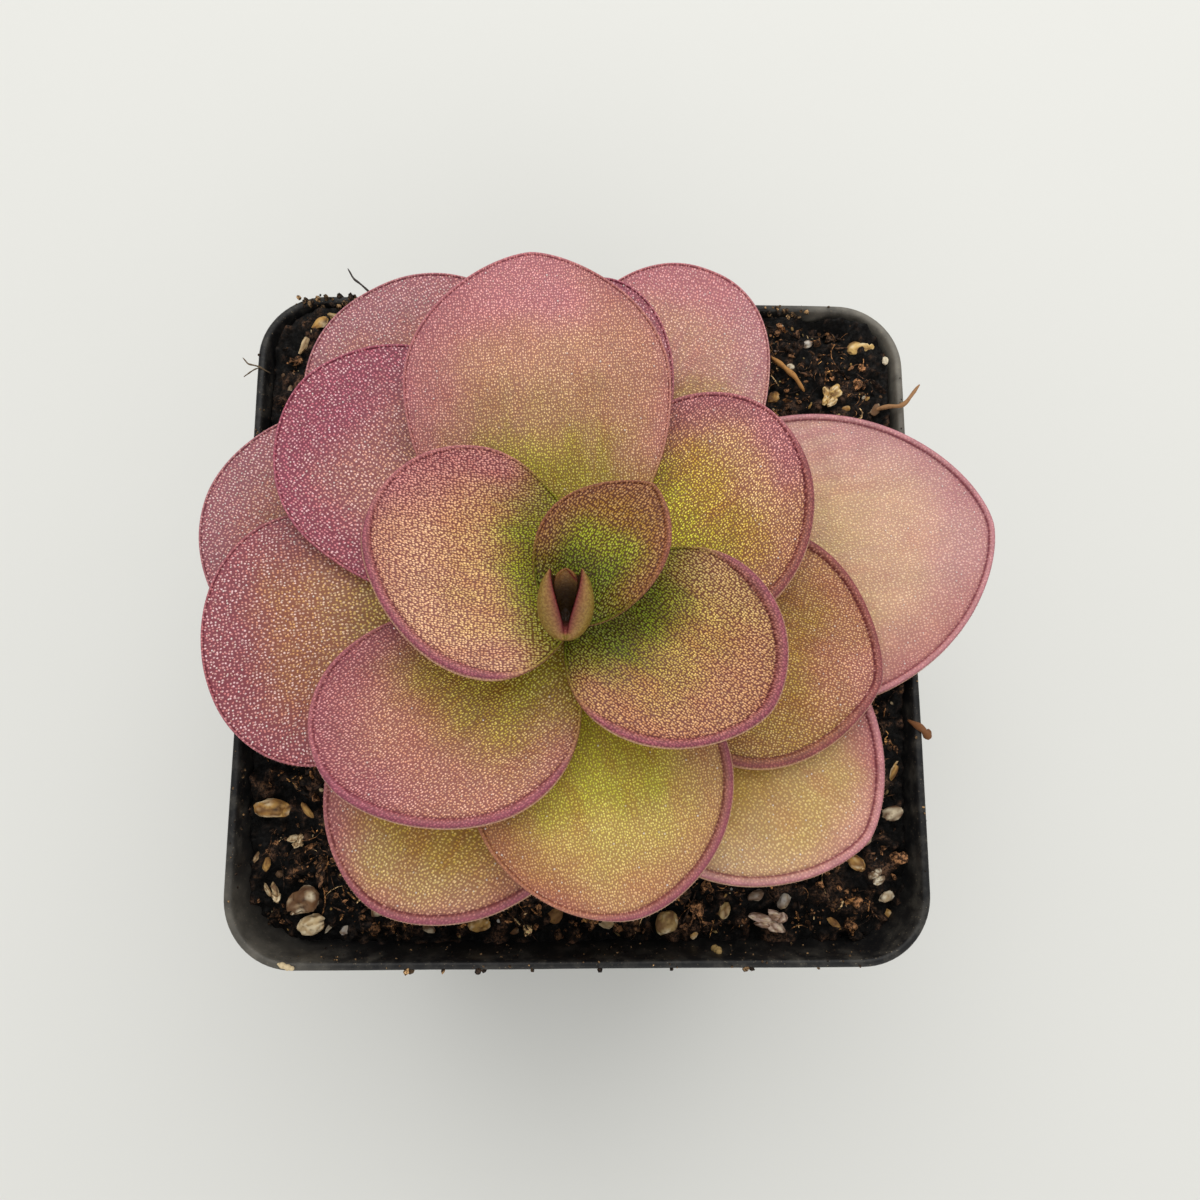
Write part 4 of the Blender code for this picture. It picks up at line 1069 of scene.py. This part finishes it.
def build_fibres(material):
    """Fine shreds and root hairs lying over the peat."""
    rng = dice(151)
    places = soil_places(rng, FIBRES, 34.8)
    length = 0.8 + 4.0 * rng.random(FIBRES) ** 2.2
    heading = rng.uniform(0.0, 2.0 * math.pi, FIBRES)
    curl = rng.normal(0.0, 0.5, FIBRES)
    share = np.linspace(-0.5, 0.5, FIBRE_STEPS)
    turn = heading[:, None] + curl[:, None] * share[None] * 2.0
    x = np.clip(places[:, :1] + length[:, None] * share * np.cos(turn), -36.0, 36.0)
    y = np.clip(places[:, 1:] + length[:, None] * share * np.sin(turn), -36.0, 36.0)
    z = ground(x.ravel(), y.ravel()).reshape(FIBRES, FIBRE_STEPS)
    z = 0.5 * z + 0.5 * z.mean(axis=1)[:, None] + rng.uniform(0.1, 0.8, FIBRES)[:, None]
    z = z + rng.normal(0.0, 0.5, FIBRES)[:, None] * share * 2.0
    z = z - 0.5 * (2.0 * share) ** 2 * rng.random(FIBRES)[:, None]
    thick = 0.03 + 0.1 * rng.random(FIBRES) ** 3.0
    radii = thick[:, None] * (1.0 - 0.75 * np.abs(2.0 * share) ** 3)
    points, faces = tubes(np.stack([x, y, z], axis=2), radii, FIBRE_SIDES)
    shade = palette(rng, FIBRES, ((50, 38, 30), (92, 66, 46), (136, 98, 62), (180, 136, 84), (208, 178, 130)),
                    [0.34, 0.28, 0.2, 0.12, 0.06])
    return add_mesh("soil_fibres", material, points, faces, spread(shade, points))


def build_strands(material):
    """The single needles and roots that stand out on the soil and over the rim."""
    share = np.linspace(-1.0, 1.0, STRAND_STEPS)
    paths = []
    for keys, _, _ in STRANDS:
        path = eased(keys, STRAND_STEPS, 3)
        waver = rows(*(cloud(path + 9.0 * i, 0.8, 91) for i in range(3)))
        paths.append(path + 0.06 * waver + (0.0, 0.0, POT_HEIGHT))
    radii = np.array([[radius] for _, radius, _ in STRANDS])
    radii = radii * (1.0 - 0.7 * np.abs(share) ** 4) * (1.0 + 0.16 * np.sin(9.0 * share))
    points, faces = tubes(np.array(paths), radii, STRAND_SIDES)
    tints = spread([linear(colour) for _, _, colour in STRANDS], points)
    return add_mesh("roots_and_needles", material, points, faces, tints)


def broken(shape, rng, cuts, depth):
    """How far each point of a round shape stays out when flat cuts break it into a rough lump."""
    reach = np.ones(len(shape))
    for _ in range(cuts):
        normal = rng.normal(size=3)
        normal /= np.linalg.norm(normal)
        reach = np.minimum(reach, rng.uniform(1.0 - depth, 1.0) / np.maximum(shape @ normal, 1e-3))
    return reach


def chip_mesh(chip, seed, subdivisions):
    """Angular bits that lean together in a chip's form: their points, triangles and colours.
    The bits of bark lean on one main bit. The colour is the chip's own, with patches of cream that are
    partly its own cream and partly painted highlight, patches of brown, and painted shade that darkens it in
    patches to near-black."""
    rng = dice(400 + seed)
    shape, faces = ball(subdivisions)
    size = np.array([chip.length, chip.width, chip.height])
    light = linear(LITTER_COLOURS[chip.colour])
    bark = chip.kind == "bark"
    parts = []
    for bit in range(CHIP_BITS[chip.kind]):
        main = bark and bit == 0
        spots = shape + seed * 5.3 + bit * 2.1
        grained = spots * np.array([1.0, 2.2, 1.8])
        swell = broken(shape, rng, LUMP_CUTS, 0.34 if main else 0.5) * (1.12 if main else 1.0)
        swell = swell + 0.1 * cloud(grained, 0.5, 93, 3)
        swell = swell - (0.2 if main else 0.1) * smooth(0.15, 0.5, cloud(spots, 0.5, 95, 2))
        share = 1.0 if main else rng.uniform(0.24, 0.4) if bark else rng.uniform(0.42, 0.66)
        angle = rng.uniform(0.0, 2.0 * math.pi)
        away = 0.0 if main else 0.54 - 0.5 * share
        sunk = 0.0 if main else rng.uniform(-0.3, 0.1)
        place = np.array([away * math.cos(angle), away * math.sin(angle), sunk])
        body = shape * swell[:, None]
        if not main:
            body = (body * np.array([1.3, 0.9, 0.6])) @ random_turns(rng, 1)[0].T
        body = body * 0.5 * share * size * np.array([1.0, 1.0, 1.0 if main else 1.3]) + place * size
        # Painted shade: where this tone runs high the chip darkens to near-black, standing in for shade in
        # its crevices; the cream patches are partly painted highlight.
        tone = 0.8 * cloud(grained, 0.5, 97, 3) + rng.uniform(-0.12, 0.12)
        patch = cloud(spots, 0.6, 101, 2) + rng.uniform(-0.35, 0.25)
        shade = mix(np.tile(light, (len(tone), 1)), mix(light, linear((236, 222, 190)), 0.6),
                    smooth(0.05, 0.35, patch))
        shade = mix(shade, mix(light, linear((104, 70, 38)), 0.8), smooth(0.02, 0.35, -patch))
        shade = mix(shade, shade * np.array([0.62, 0.5, 0.38]), smooth(-0.1, 0.25, tone))
        shade = mix(shade, linear((26, 19, 15)), 0.95 * smooth(0.25, 0.55, tone))
        x, y = spun(body[:, 0], body[:, 1], math.radians(chip.turn))
        parts.append((rows(x, y, body[:, 2]), faces, shade))
    return join(parts)


def build_chips(skins):
    for number, chip in enumerate(CHIPS, start=1):
        points, faces, tints = chip_mesh(chip, number, 3)
        low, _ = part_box(f"chip_{number:02d}")
        points += (chip.x, chip.y, low.z / MM - points[:, 2].min() - 0.25)
        item = add_mesh(f"chip_{number:02d}_rough", skins[chip.kind], points, faces, tints, soft=False)
        finish_piece(item, chip.kind, f"chip_{number:02d}")


def build_litter(material):
    parts = []
    for number, chip in enumerate(LITTER, start=21):
        points, faces, tints = chip_mesh(chip, number, 2)
        level = ground(np.array([chip.x]), np.array([chip.y]))[0] + 0.3 * chip.height
        parts.append((points + (chip.x, chip.y, level), faces, tints))
    return add_mesh("soil_litter", material, *join(parts), soft=False)


def build_rim_crumbs(material):
    """Crumbs and dust grains that cling to the pot's lip and to its inner wall."""
    rng = dice(171)
    # Crumbs on the near side of the lip, at places along it and of a size
    spots = [(x, -RIM_HALF - 0.05, POT_HEIGHT - 0.35, size) for x, size in (
        (-18.4, 0.62), (-18.0, 0.4), (-10.9, 0.55), (-10.3, 0.35), (2.0, 0.35), (17.6, 0.5), (18.2, 0.35),
        (-14.6, 0.4), (-5.2, 0.25), (9.6, 0.3), (25.4, 0.25))]
    for _ in range(LIP_GRAINS):
        side = rng.integers(4)
        along = rng.uniform(-31.0, 31.0)
        out = RIM_HALF - rng.uniform(0.1, 0.8)
        x, y = ((along, out), (along, -out), (out, along), (-out, along))[side]
        spots.append((x, y, POT_HEIGHT + 0.02, rng.uniform(0.06, 0.2)))
    for _ in range(NEAR_WALL_GRAINS):
        along = rng.uniform(-32.0, 32.0)
        z = POT_HEIGHT - rng.uniform(0.5, 5.0)
        spots.append((along, -inside(z)[0] + 0.03, z, rng.uniform(0.05, 0.16)))
    for _ in range(LEFT_WALL_GRAINS):
        z = POT_HEIGHT - rng.uniform(0.3, 1.6)
        spots.append((-inside(z)[0] + 0.03, rng.uniform(-30.0, 30.0), z, rng.uniform(0.06, 0.24)))
    # Spills over the far side of the lip: how many, and ranges along it, in from it, up and of size
    for count, along, back, up, size in ((60, (-34.0, -20.0), (0.0, 1.6), (-0.4, 0.3), (0.15, 0.5)),
                                         (50, (16.0, 27.0), (0.2, 1.8), (-0.4, 0.25), (0.12, 0.42))):
        for _ in range(count):
            spots.append((rng.uniform(*along), RIM_HALF - rng.uniform(*back), POT_HEIGHT + rng.uniform(*up),
                          rng.uniform(*size)))
    spots = np.array(spots)
    count = len(spots)
    shape, faces = ball(1)
    swell = (shape[None] * 1.5 + rng.uniform(0, 60, (count, 1, 3))).reshape(-1, 3)
    swell = 1.0 + 0.4 * cloud(swell, 1.0, 99, 2)
    sizes = spots[:, 3:] * rng.uniform(0.6, 1.1, (count, 3))
    points = shape[None] * swell.reshape(count, -1)[:, :, None] * sizes[:, None, :]
    points = np.einsum("nij,nkj->nki", random_turns(rng, count), points) + spots[:, None, :3]
    points, faces = copies(points, faces)
    shade = mix(linear((40, 31, 25)), linear((150, 122, 86)), rng.random(count) ** 2.6)
    return add_mesh("rim_crumbs", material, points, faces, spread(shade, points), soft=False)


def build_specks(material):
    """A few dark specks caught on the leaves."""
    rng = dice(191)
    shape, faces = ball(1)
    parts = []
    # The leaf, the place along and across it, and the size of each speck
    for number, along, across, size in ((17, 29.6, 8.0, 0.30), (1, 2.2, -0.4, 0.14), (17, 26.0, 1.0, 0.08),
                                        (17, 34.0, 5.0, 0.07), (17, 32.0, -3.0, 0.07), (17, 22.4, 3.4, 0.06),
                                        (10, 30.0, 2.6, 0.09), (16, 38.4, 3.0, 0.08)):
        leaf = LEAVES[number - 1]
        along, across = np.array([along]), np.array([across])
        z = leaf_height(leaf, along, across) + half_thickness(leaf_rho(leaf, along, across)) + 0.12
        body = (shape * size * np.array([1.0, 0.42, 0.4])) @ random_turns(rng, 1)[0].T
        body[:, 2] *= 0.5
        parts.append((body + rows(*leaf_place(leaf, along, across), POT_HEIGHT + z), faces))
    return add_mesh("leaf_specks", material, *join(parts))


# Materials
class Paint:
    """A node material with one Principled shader, and short calls to add nodes to it."""

    def __init__(self, name, **values):
        self.material = bpy.data.materials.new(name)
        self.material.use_nodes = True
        self.tree = self.material.node_tree
        self.shader = self.tree.nodes["Principled BSDF"]
        for key, value in values.items():
            self.shader.inputs[key.replace("_", " ")].default_value = value

    def add(self, kind, inputs, **settings):
        item = self.tree.nodes.new(kind)
        for key, value in settings.items():
            setattr(item, key, value)
        for key, value in inputs.items():
            if isinstance(value, bpy.types.NodeSocket):
                self.tree.links.new(value, item.inputs[key])
            else:
                item.inputs[key].default_value = value
        return item

    def finish(self, colour, roughness=None, normal=None):
        """Links the shader's inputs and gives the material."""
        for key, value in (("Base Color", colour), ("Roughness", roughness), ("Normal", normal)):
            if value is not None:
                self.tree.links.new(value, self.shader.inputs[key])
        return self.material

    def place(self):
        return self.add("ShaderNodeTexCoord", {}).outputs["Object"]

    def read(self, name, output):
        return self.add("ShaderNodeAttribute", {}, attribute_name=name).outputs[output]

    def grain(self, size, detail=2.0, roughness=0.5, place=None):
        """Noise with features of a size in millimetres."""
        return self.add("ShaderNodeTexNoise", {"Vector": place or self.place(), "Scale": 1.0 / (size * MM),
                                               "Detail": detail, "Roughness": roughness}).outputs["Fac"]

    def remap(self, value, low, high, to_low=0.0, to_high=1.0):
        return self.add("ShaderNodeMapRange", {"Value": value, "From Min": low, "From Max": high,
                                               "To Min": to_low, "To Max": to_high},
                        interpolation_type="SMOOTHSTEP").outputs["Result"]

    def math(self, operation, a, b):
        return self.add("ShaderNodeMath", {0: a, 1: b}, operation=operation).outputs[0]

    def vector(self, operation, a, b, socket=1, output="Vector"):
        return self.add("ShaderNodeVectorMath", {0: a, socket: b}, operation=operation).outputs[output]

    def blend(self, factor, a, b, kind="MIX"):
        inputs = {0: factor, 6: a, 7: b}
        return self.add("ShaderNodeMix", inputs, data_type="RGBA", blend_type=kind).outputs[2]

    def times(self, colour, tone):
        return self.blend(1.0, colour, (*tone, 1.0), "MULTIPLY")

    def bump(self, height, distance, strength=1.0, **under):
        return self.add("ShaderNodeBump", {"Height": height, "Distance": distance * MM, "Strength": strength,
                                           **under}).outputs["Normal"]


def rgba(colour):
    return (*linear(colour), 1.0)


def leaf_skin(name, roughness, cells):
    """Fleshy leaf: pigment from the mesh, broken into pale cells with a darker net between them."""
    paint = Paint(name, Roughness=roughness, Specular_IOR_Level=0.3, Subsurface_Weight=0.08,
                  Subsurface_Radius=(1.0, 0.5, 0.25), Subsurface_Scale=0.0004)
    tint, frost, place = paint.read("tint", "Color"), paint.read("frost", "Fac"), paint.read("cell", "Vector")
    ragged = paint.add("ShaderNodeTexNoise", {"Vector": place, "Scale": 1.3, "Detail": 1.0}).outputs["Color"]
    ragged = paint.vector("SCALE", paint.vector("SUBTRACT", ragged, (0.5, 0.5, 0.5)), 0.45, socket="Scale")
    texture = paint.add("ShaderNodeTexVoronoi", {"Vector": paint.vector("ADD", place, ragged), "Scale": 1.0,
                                                 "Randomness": CELL_RANDOMNESS}, voronoi_dimensions="2D")
    gap = paint.math("ADD", texture.outputs["Distance"], paint.math("MULTIPLY", frost, 0.04))
    dots = paint.remap(gap, cells.near, cells.far, 1.0, 0.0)
    pick = paint.add("ShaderNodeSeparateColor", {"Color": texture.outputs["Color"]}).outputs[0]
    light = paint.times(tint, cells.light)
    light = paint.blend(paint.remap(pick, 0.4, 1.0), light, paint.times(tint, cells.bright))
    white = paint.math("MULTIPLY", frost, paint.remap(pick, 0.35, 0.9, 0.0, 0.75))
    light = paint.blend(white, light, rgba((236, 208, 208)))
    shade = paint.blend(dots, paint.times(tint, cells.net), light)
    shade = paint.blend(paint.read("grain", "Fac"), tint, shade)
    wet = paint.remap(paint.grain(0.9, 2.0, 0.6), 0.35, 0.65, roughness - 0.08, roughness + 0.1)
    return paint.finish(shade, wet, paint.bump(dots, 0.045, 0.8))


def gland_skin():
    paint = Paint("gland_heads", Roughness=0.2, Specular_IOR_Level=0.5, Coat_Weight=0.2, Coat_Roughness=0.08)
    tint = paint.read("tint", "Color")
    glint = paint.remap(paint.grain(0.35, 1.0, 0.5), 0.4, 0.75, 0.0, 0.25)
    return paint.finish(paint.blend(glint, tint, paint.times(tint, (1.3, 1.3, 1.3))),
                        paint.remap(paint.grain(0.3, 1.0, 0.5), 0.3, 0.7, 0.14, 0.34))


def bud_skin():
    paint = Paint("bud_skin", Roughness=0.5, Specular_IOR_Level=0.3, Subsurface_Weight=0.1,
                  Subsurface_Radius=(1.0, 0.5, 0.25), Subsurface_Scale=0.0006)
    tint = paint.read("tint", "Color")
    fine = paint.remap(paint.grain(0.22, 2.0, 0.5), 0.38, 0.62)
    shade = paint.blend(fine, paint.times(tint, (0.8, 0.7, 0.66)), paint.times(tint, (1.12, 1.12, 1.08)))
    return paint.finish(shade, paint.remap(paint.grain(0.5), 0.35, 0.65, 0.38, 0.55),
                        paint.bump(fine, 0.03, 0.6))


def crown_skin():
    paint = Paint("crown_skin", Roughness=0.5, Specular_IOR_Level=0.4)
    streak = paint.remap(paint.grain(1.2, 3.0, 0.6), 0.3, 0.7)
    return paint.finish(paint.blend(streak, rgba((78, 84, 26)), rgba((132, 122, 52))),
                        normal=paint.bump(paint.grain(0.5, 3.0), 0.1, 0.6))


def peat(name, roughness=0.85, relief=0.25):
    """Crumbly peat: pigment from the mesh with light grains and near-black pores, partly its own grain and
    partly painted shade, and a few painted glints; damp spots are glossier.
    """
    paint = Paint(name, Roughness=roughness, Specular_IOR_Level=0.22)
    tint = paint.read("tint", "Color")
    # The fine pattern is partly the peat's own light and dark grain and partly painted shade, near-black in
    # the pores.
    fine = paint.grain(0.46, 5.0, 0.75)
    shade = paint.blend(paint.remap(fine, 0.44, 0.52, 0.0, 0.95), paint.times(tint, (2.3, 2.15, 2.0)),
                        paint.times(tint, (0.1, 0.08, 0.08)))
    # Painted glints: small spots lightened to about three times the pigment.
    glint = paint.remap(paint.grain(0.3, 3.0, 0.7), 0.57, 0.64, 0.0, 0.6)
    shade = paint.blend(glint, shade, paint.times(tint, (3.2, 3.1, 3.0)))
    damp = paint.remap(paint.grain(0.5, 3.0, 0.6), 0.4, 0.75, roughness + 0.1, roughness - 0.5)
    return paint.finish(shade, damp, paint.bump(fine, relief, 0.9))


def mineral(name, roughness, fine_size, relief):
    """Porous bark or perlite: pigment from the mesh with darker pores."""
    paint = Paint(name, Roughness=roughness, Specular_IOR_Level=0.4)
    tint = paint.read("tint", "Color")
    pores = paint.add("ShaderNodeTexVoronoi", {"Vector": paint.place(), "Scale": 1.0 / (fine_size * MM)})
    dark = paint.remap(pores.outputs["Distance"], 0.05, 0.4, 0.6, 0.0)
    return paint.finish(paint.blend(dark, tint, paint.times(tint, (0.42, 0.34, 0.27))),
                        paint.remap(paint.grain(0.6, 3.0), 0.3, 0.7, roughness - 0.15, roughness + 0.12),
                        paint.bump(paint.grain(fine_size, 4.0, 0.7), relief, 0.8))


def plastic():
    """Thin black moulded plastic, with dust near its lip, lighter grey towards two corners, and fine rubbed
    lines.
    """
    paint = Paint("black_plastic_dusty", Roughness=0.42, Specular_IOR_Level=0.22)
    place = paint.place()

    def towards(direction, low, high, most):
        reach = paint.vector("DOT_PRODUCT", place, direction, output="Value")
        return paint.remap(reach, low, high, 0.0, most)

    height = paint.add("ShaderNodeSeparateXYZ", {"Vector": place}).outputs["Z"]
    upper = paint.remap(height, (POT_HEIGHT - 9.0) * MM, POT_HEIGHT * MM, 0.12, 1.0)
    dust = paint.math("MULTIPLY", paint.remap(paint.grain(2.2, 5.0, 0.65), 0.42, 0.78, 0.0, 0.16), upper)
    specks = paint.math("MULTIPLY", paint.remap(paint.grain(0.22, 2.0, 0.5), 0.66, 0.74, 0.0, 0.5), upper)
    # Lighter grey towards two inside corners, set by place alone and broken into patches.
    corners = paint.math("ADD", towards((0.85, 0.5, 0.0), 0.036, 0.046, 0.5),
                         towards((-0.72, -0.69, 0.0), 0.042, 0.051, 0.3))
    patches = paint.remap(paint.grain(2.6, 4.0, 0.6), 0.3, 0.65, 0.45, 1.0)
    corners = paint.math("MULTIPLY", paint.math("MULTIPLY", corners, patches), upper)
    shade = paint.blend(paint.math("ADD", dust, corners), rgba((22, 22, 23)), rgba((150, 144, 132)))
    stretched = paint.add("ShaderNodeMapping", {"Vector": place, "Scale": (1.0, 1.0, 9.0)}).outputs["Vector"]
    lines = paint.bump(paint.grain(3.0, 4.0, 0.7, stretched), 0.02, 0.5)
    return paint.finish(paint.blend(specks, shade, rgba((150, 136, 112))),
                        paint.remap(paint.grain(3.0, 5.0, 0.65), 0.3, 0.7, 0.36, 0.48),
                        paint.bump(paint.grain(0.25, 2.0, 0.5), 0.012, 0.8, Normal=lines))


def speck_skin():
    paint = Paint("dark_specks", Roughness=0.6)
    patches = paint.remap(paint.grain(0.2), 0.3, 0.7)
    return paint.finish(paint.blend(patches, rgba((40, 28, 20)), rgba((84, 58, 40))))


def floor_skin():
    paint = Paint("studio_floor", Roughness=0.9, Specular_IOR_Level=0.2)
    mottling = paint.remap(paint.grain(40.0, 3.0), 0.3, 0.7, 0.0, 0.04)
    return paint.finish(paint.blend(mottling, rgba((216, 216, 212)), rgba((209.52, 209.52, 205.64))))


# Build the pieces. A leaf's slot is the first whose last leaf isn't passed.
LEAF_SLOTS = (("young_leaf", 1, leaf_skin("leaf_skin_young", 0.48, YOUNG_CELLS)),
              ("inner_leaf", 3, leaf_skin("leaf_skin_inner", 0.46, YOUNG_CELLS)),
              ("middle_leaf", 11, leaf_skin("leaf_skin_middle", 0.45, OLD_CELLS)),
              ("outer_leaf", 17, leaf_skin("leaf_skin_outer", 0.43, OLD_CELLS)))
heads = gland_skin()
for leaf in LEAVES:
    slot, skin = next((slot, skin) for slot, last, skin in LEAF_SLOTS if leaf.number <= last)
    finish_piece(build_leaf(leaf, skin), slot, f"leaf_{leaf.number:02d}")
    finish_piece(build_glands(leaf, heads), slot)

bud = bud_skin()
finish_piece(build_bud(bud), "bud_tan", "bud")
finish_piece(build_bud_heart(bud), "bud_tan", "bud_inner")

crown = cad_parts["crown"]
crown.data.materials.clear()
crown.data.materials.append(crown_skin())

peat_skin, fibre_skin = peat("peat_dark"), peat("peat_fibres", 0.75, 0.05)
bark, perlite = mineral("bark_broken", 0.8, 0.5, 0.12), mineral("perlite_porous", 0.7, 0.35, 0.1)
finish_piece(build_pot(plastic()), "black_plastic", "pot")
finish_piece(build_soil(peat_skin), "peat_soil", "soil")
build_chips({"bark": bark, "perlite": perlite})
for build, skin, slot in ((build_clods, peat_skin, "peat_soil"), (build_fibres, fibre_skin, "peat_soil"),
                          (build_shreds, fibre_skin, "bark"), (build_litter, bark, "bark"),
                          (build_flecks, perlite, "perlite"), (build_strands, bark, "bark"),
                          (build_rim_crumbs, peat_skin, "peat_soil"),
                          (build_specks, speck_skin(), "peat_soil")):
    finish_piece(build(skin), slot)

# Stage: a plain pale floor, soft light and the camera
bpy.ops.mesh.primitive_plane_add(size=8.0, location=(0.0, 0.0, 0.0))
floor = bpy.context.object
floor.name = "studio_floor"
floor.data.materials.append(floor_skin())

world = bpy.data.worlds.new("studio_world")
bpy.context.scene.world = world
world.use_nodes = True
world.node_tree.nodes["Background"].inputs["Color"].default_value = SKY_COLOUR
world.node_tree.nodes["Background"].inputs["Strength"].default_value = SKY_STRENGTH


def soft_light(name, place, aim, size, power, colour):
    data = bpy.data.lights.new(name, "AREA")
    data.shape = "DISK"
    data.size = size
    data.energy = power
    data.color = colour
    item = bpy.data.objects.new(name, data)
    item.location = place
    item.rotation_euler = (Vector(aim) - Vector(place)).to_track_quat("-Z", "Y").to_euler()
    bpy.context.scene.collection.objects.link(item)


soft_light("window", (0.02, 0.42, 0.55), (0.0, 0.0, 0.06), 0.85, 3.15, (1.0, 0.995, 0.98))
soft_light("bounce", (0.1, -0.5, 0.4), (0.0, -0.1, 0.03), 0.6, 0.7, (1.0, 0.99, 0.98))

# The camera
camera_data = bpy.data.cameras.new("photo_camera")
camera_data.sensor_width = SENSOR_WIDTH
camera_data.lens = LENS
camera_data.clip_start = 0.01
camera_data.clip_end = 20.0
camera = bpy.data.objects.new("photo_camera", camera_data)
bpy.context.scene.collection.objects.link(camera)
forward = Vector(CAMERA_FORWARD).normalized()
right = Vector(CAMERA_RIGHT)
right = (right - forward * right.dot(forward)).normalized()
up = right.cross(forward)
camera.matrix_world = Matrix.Translation(Vector(CAMERA_PLACE) * MM) @ Matrix(
    (right, up, -forward)).transposed().to_4x4()
bpy.context.scene.camera = camera
bpy.context.scene.view_settings.view_transform = "Standard"
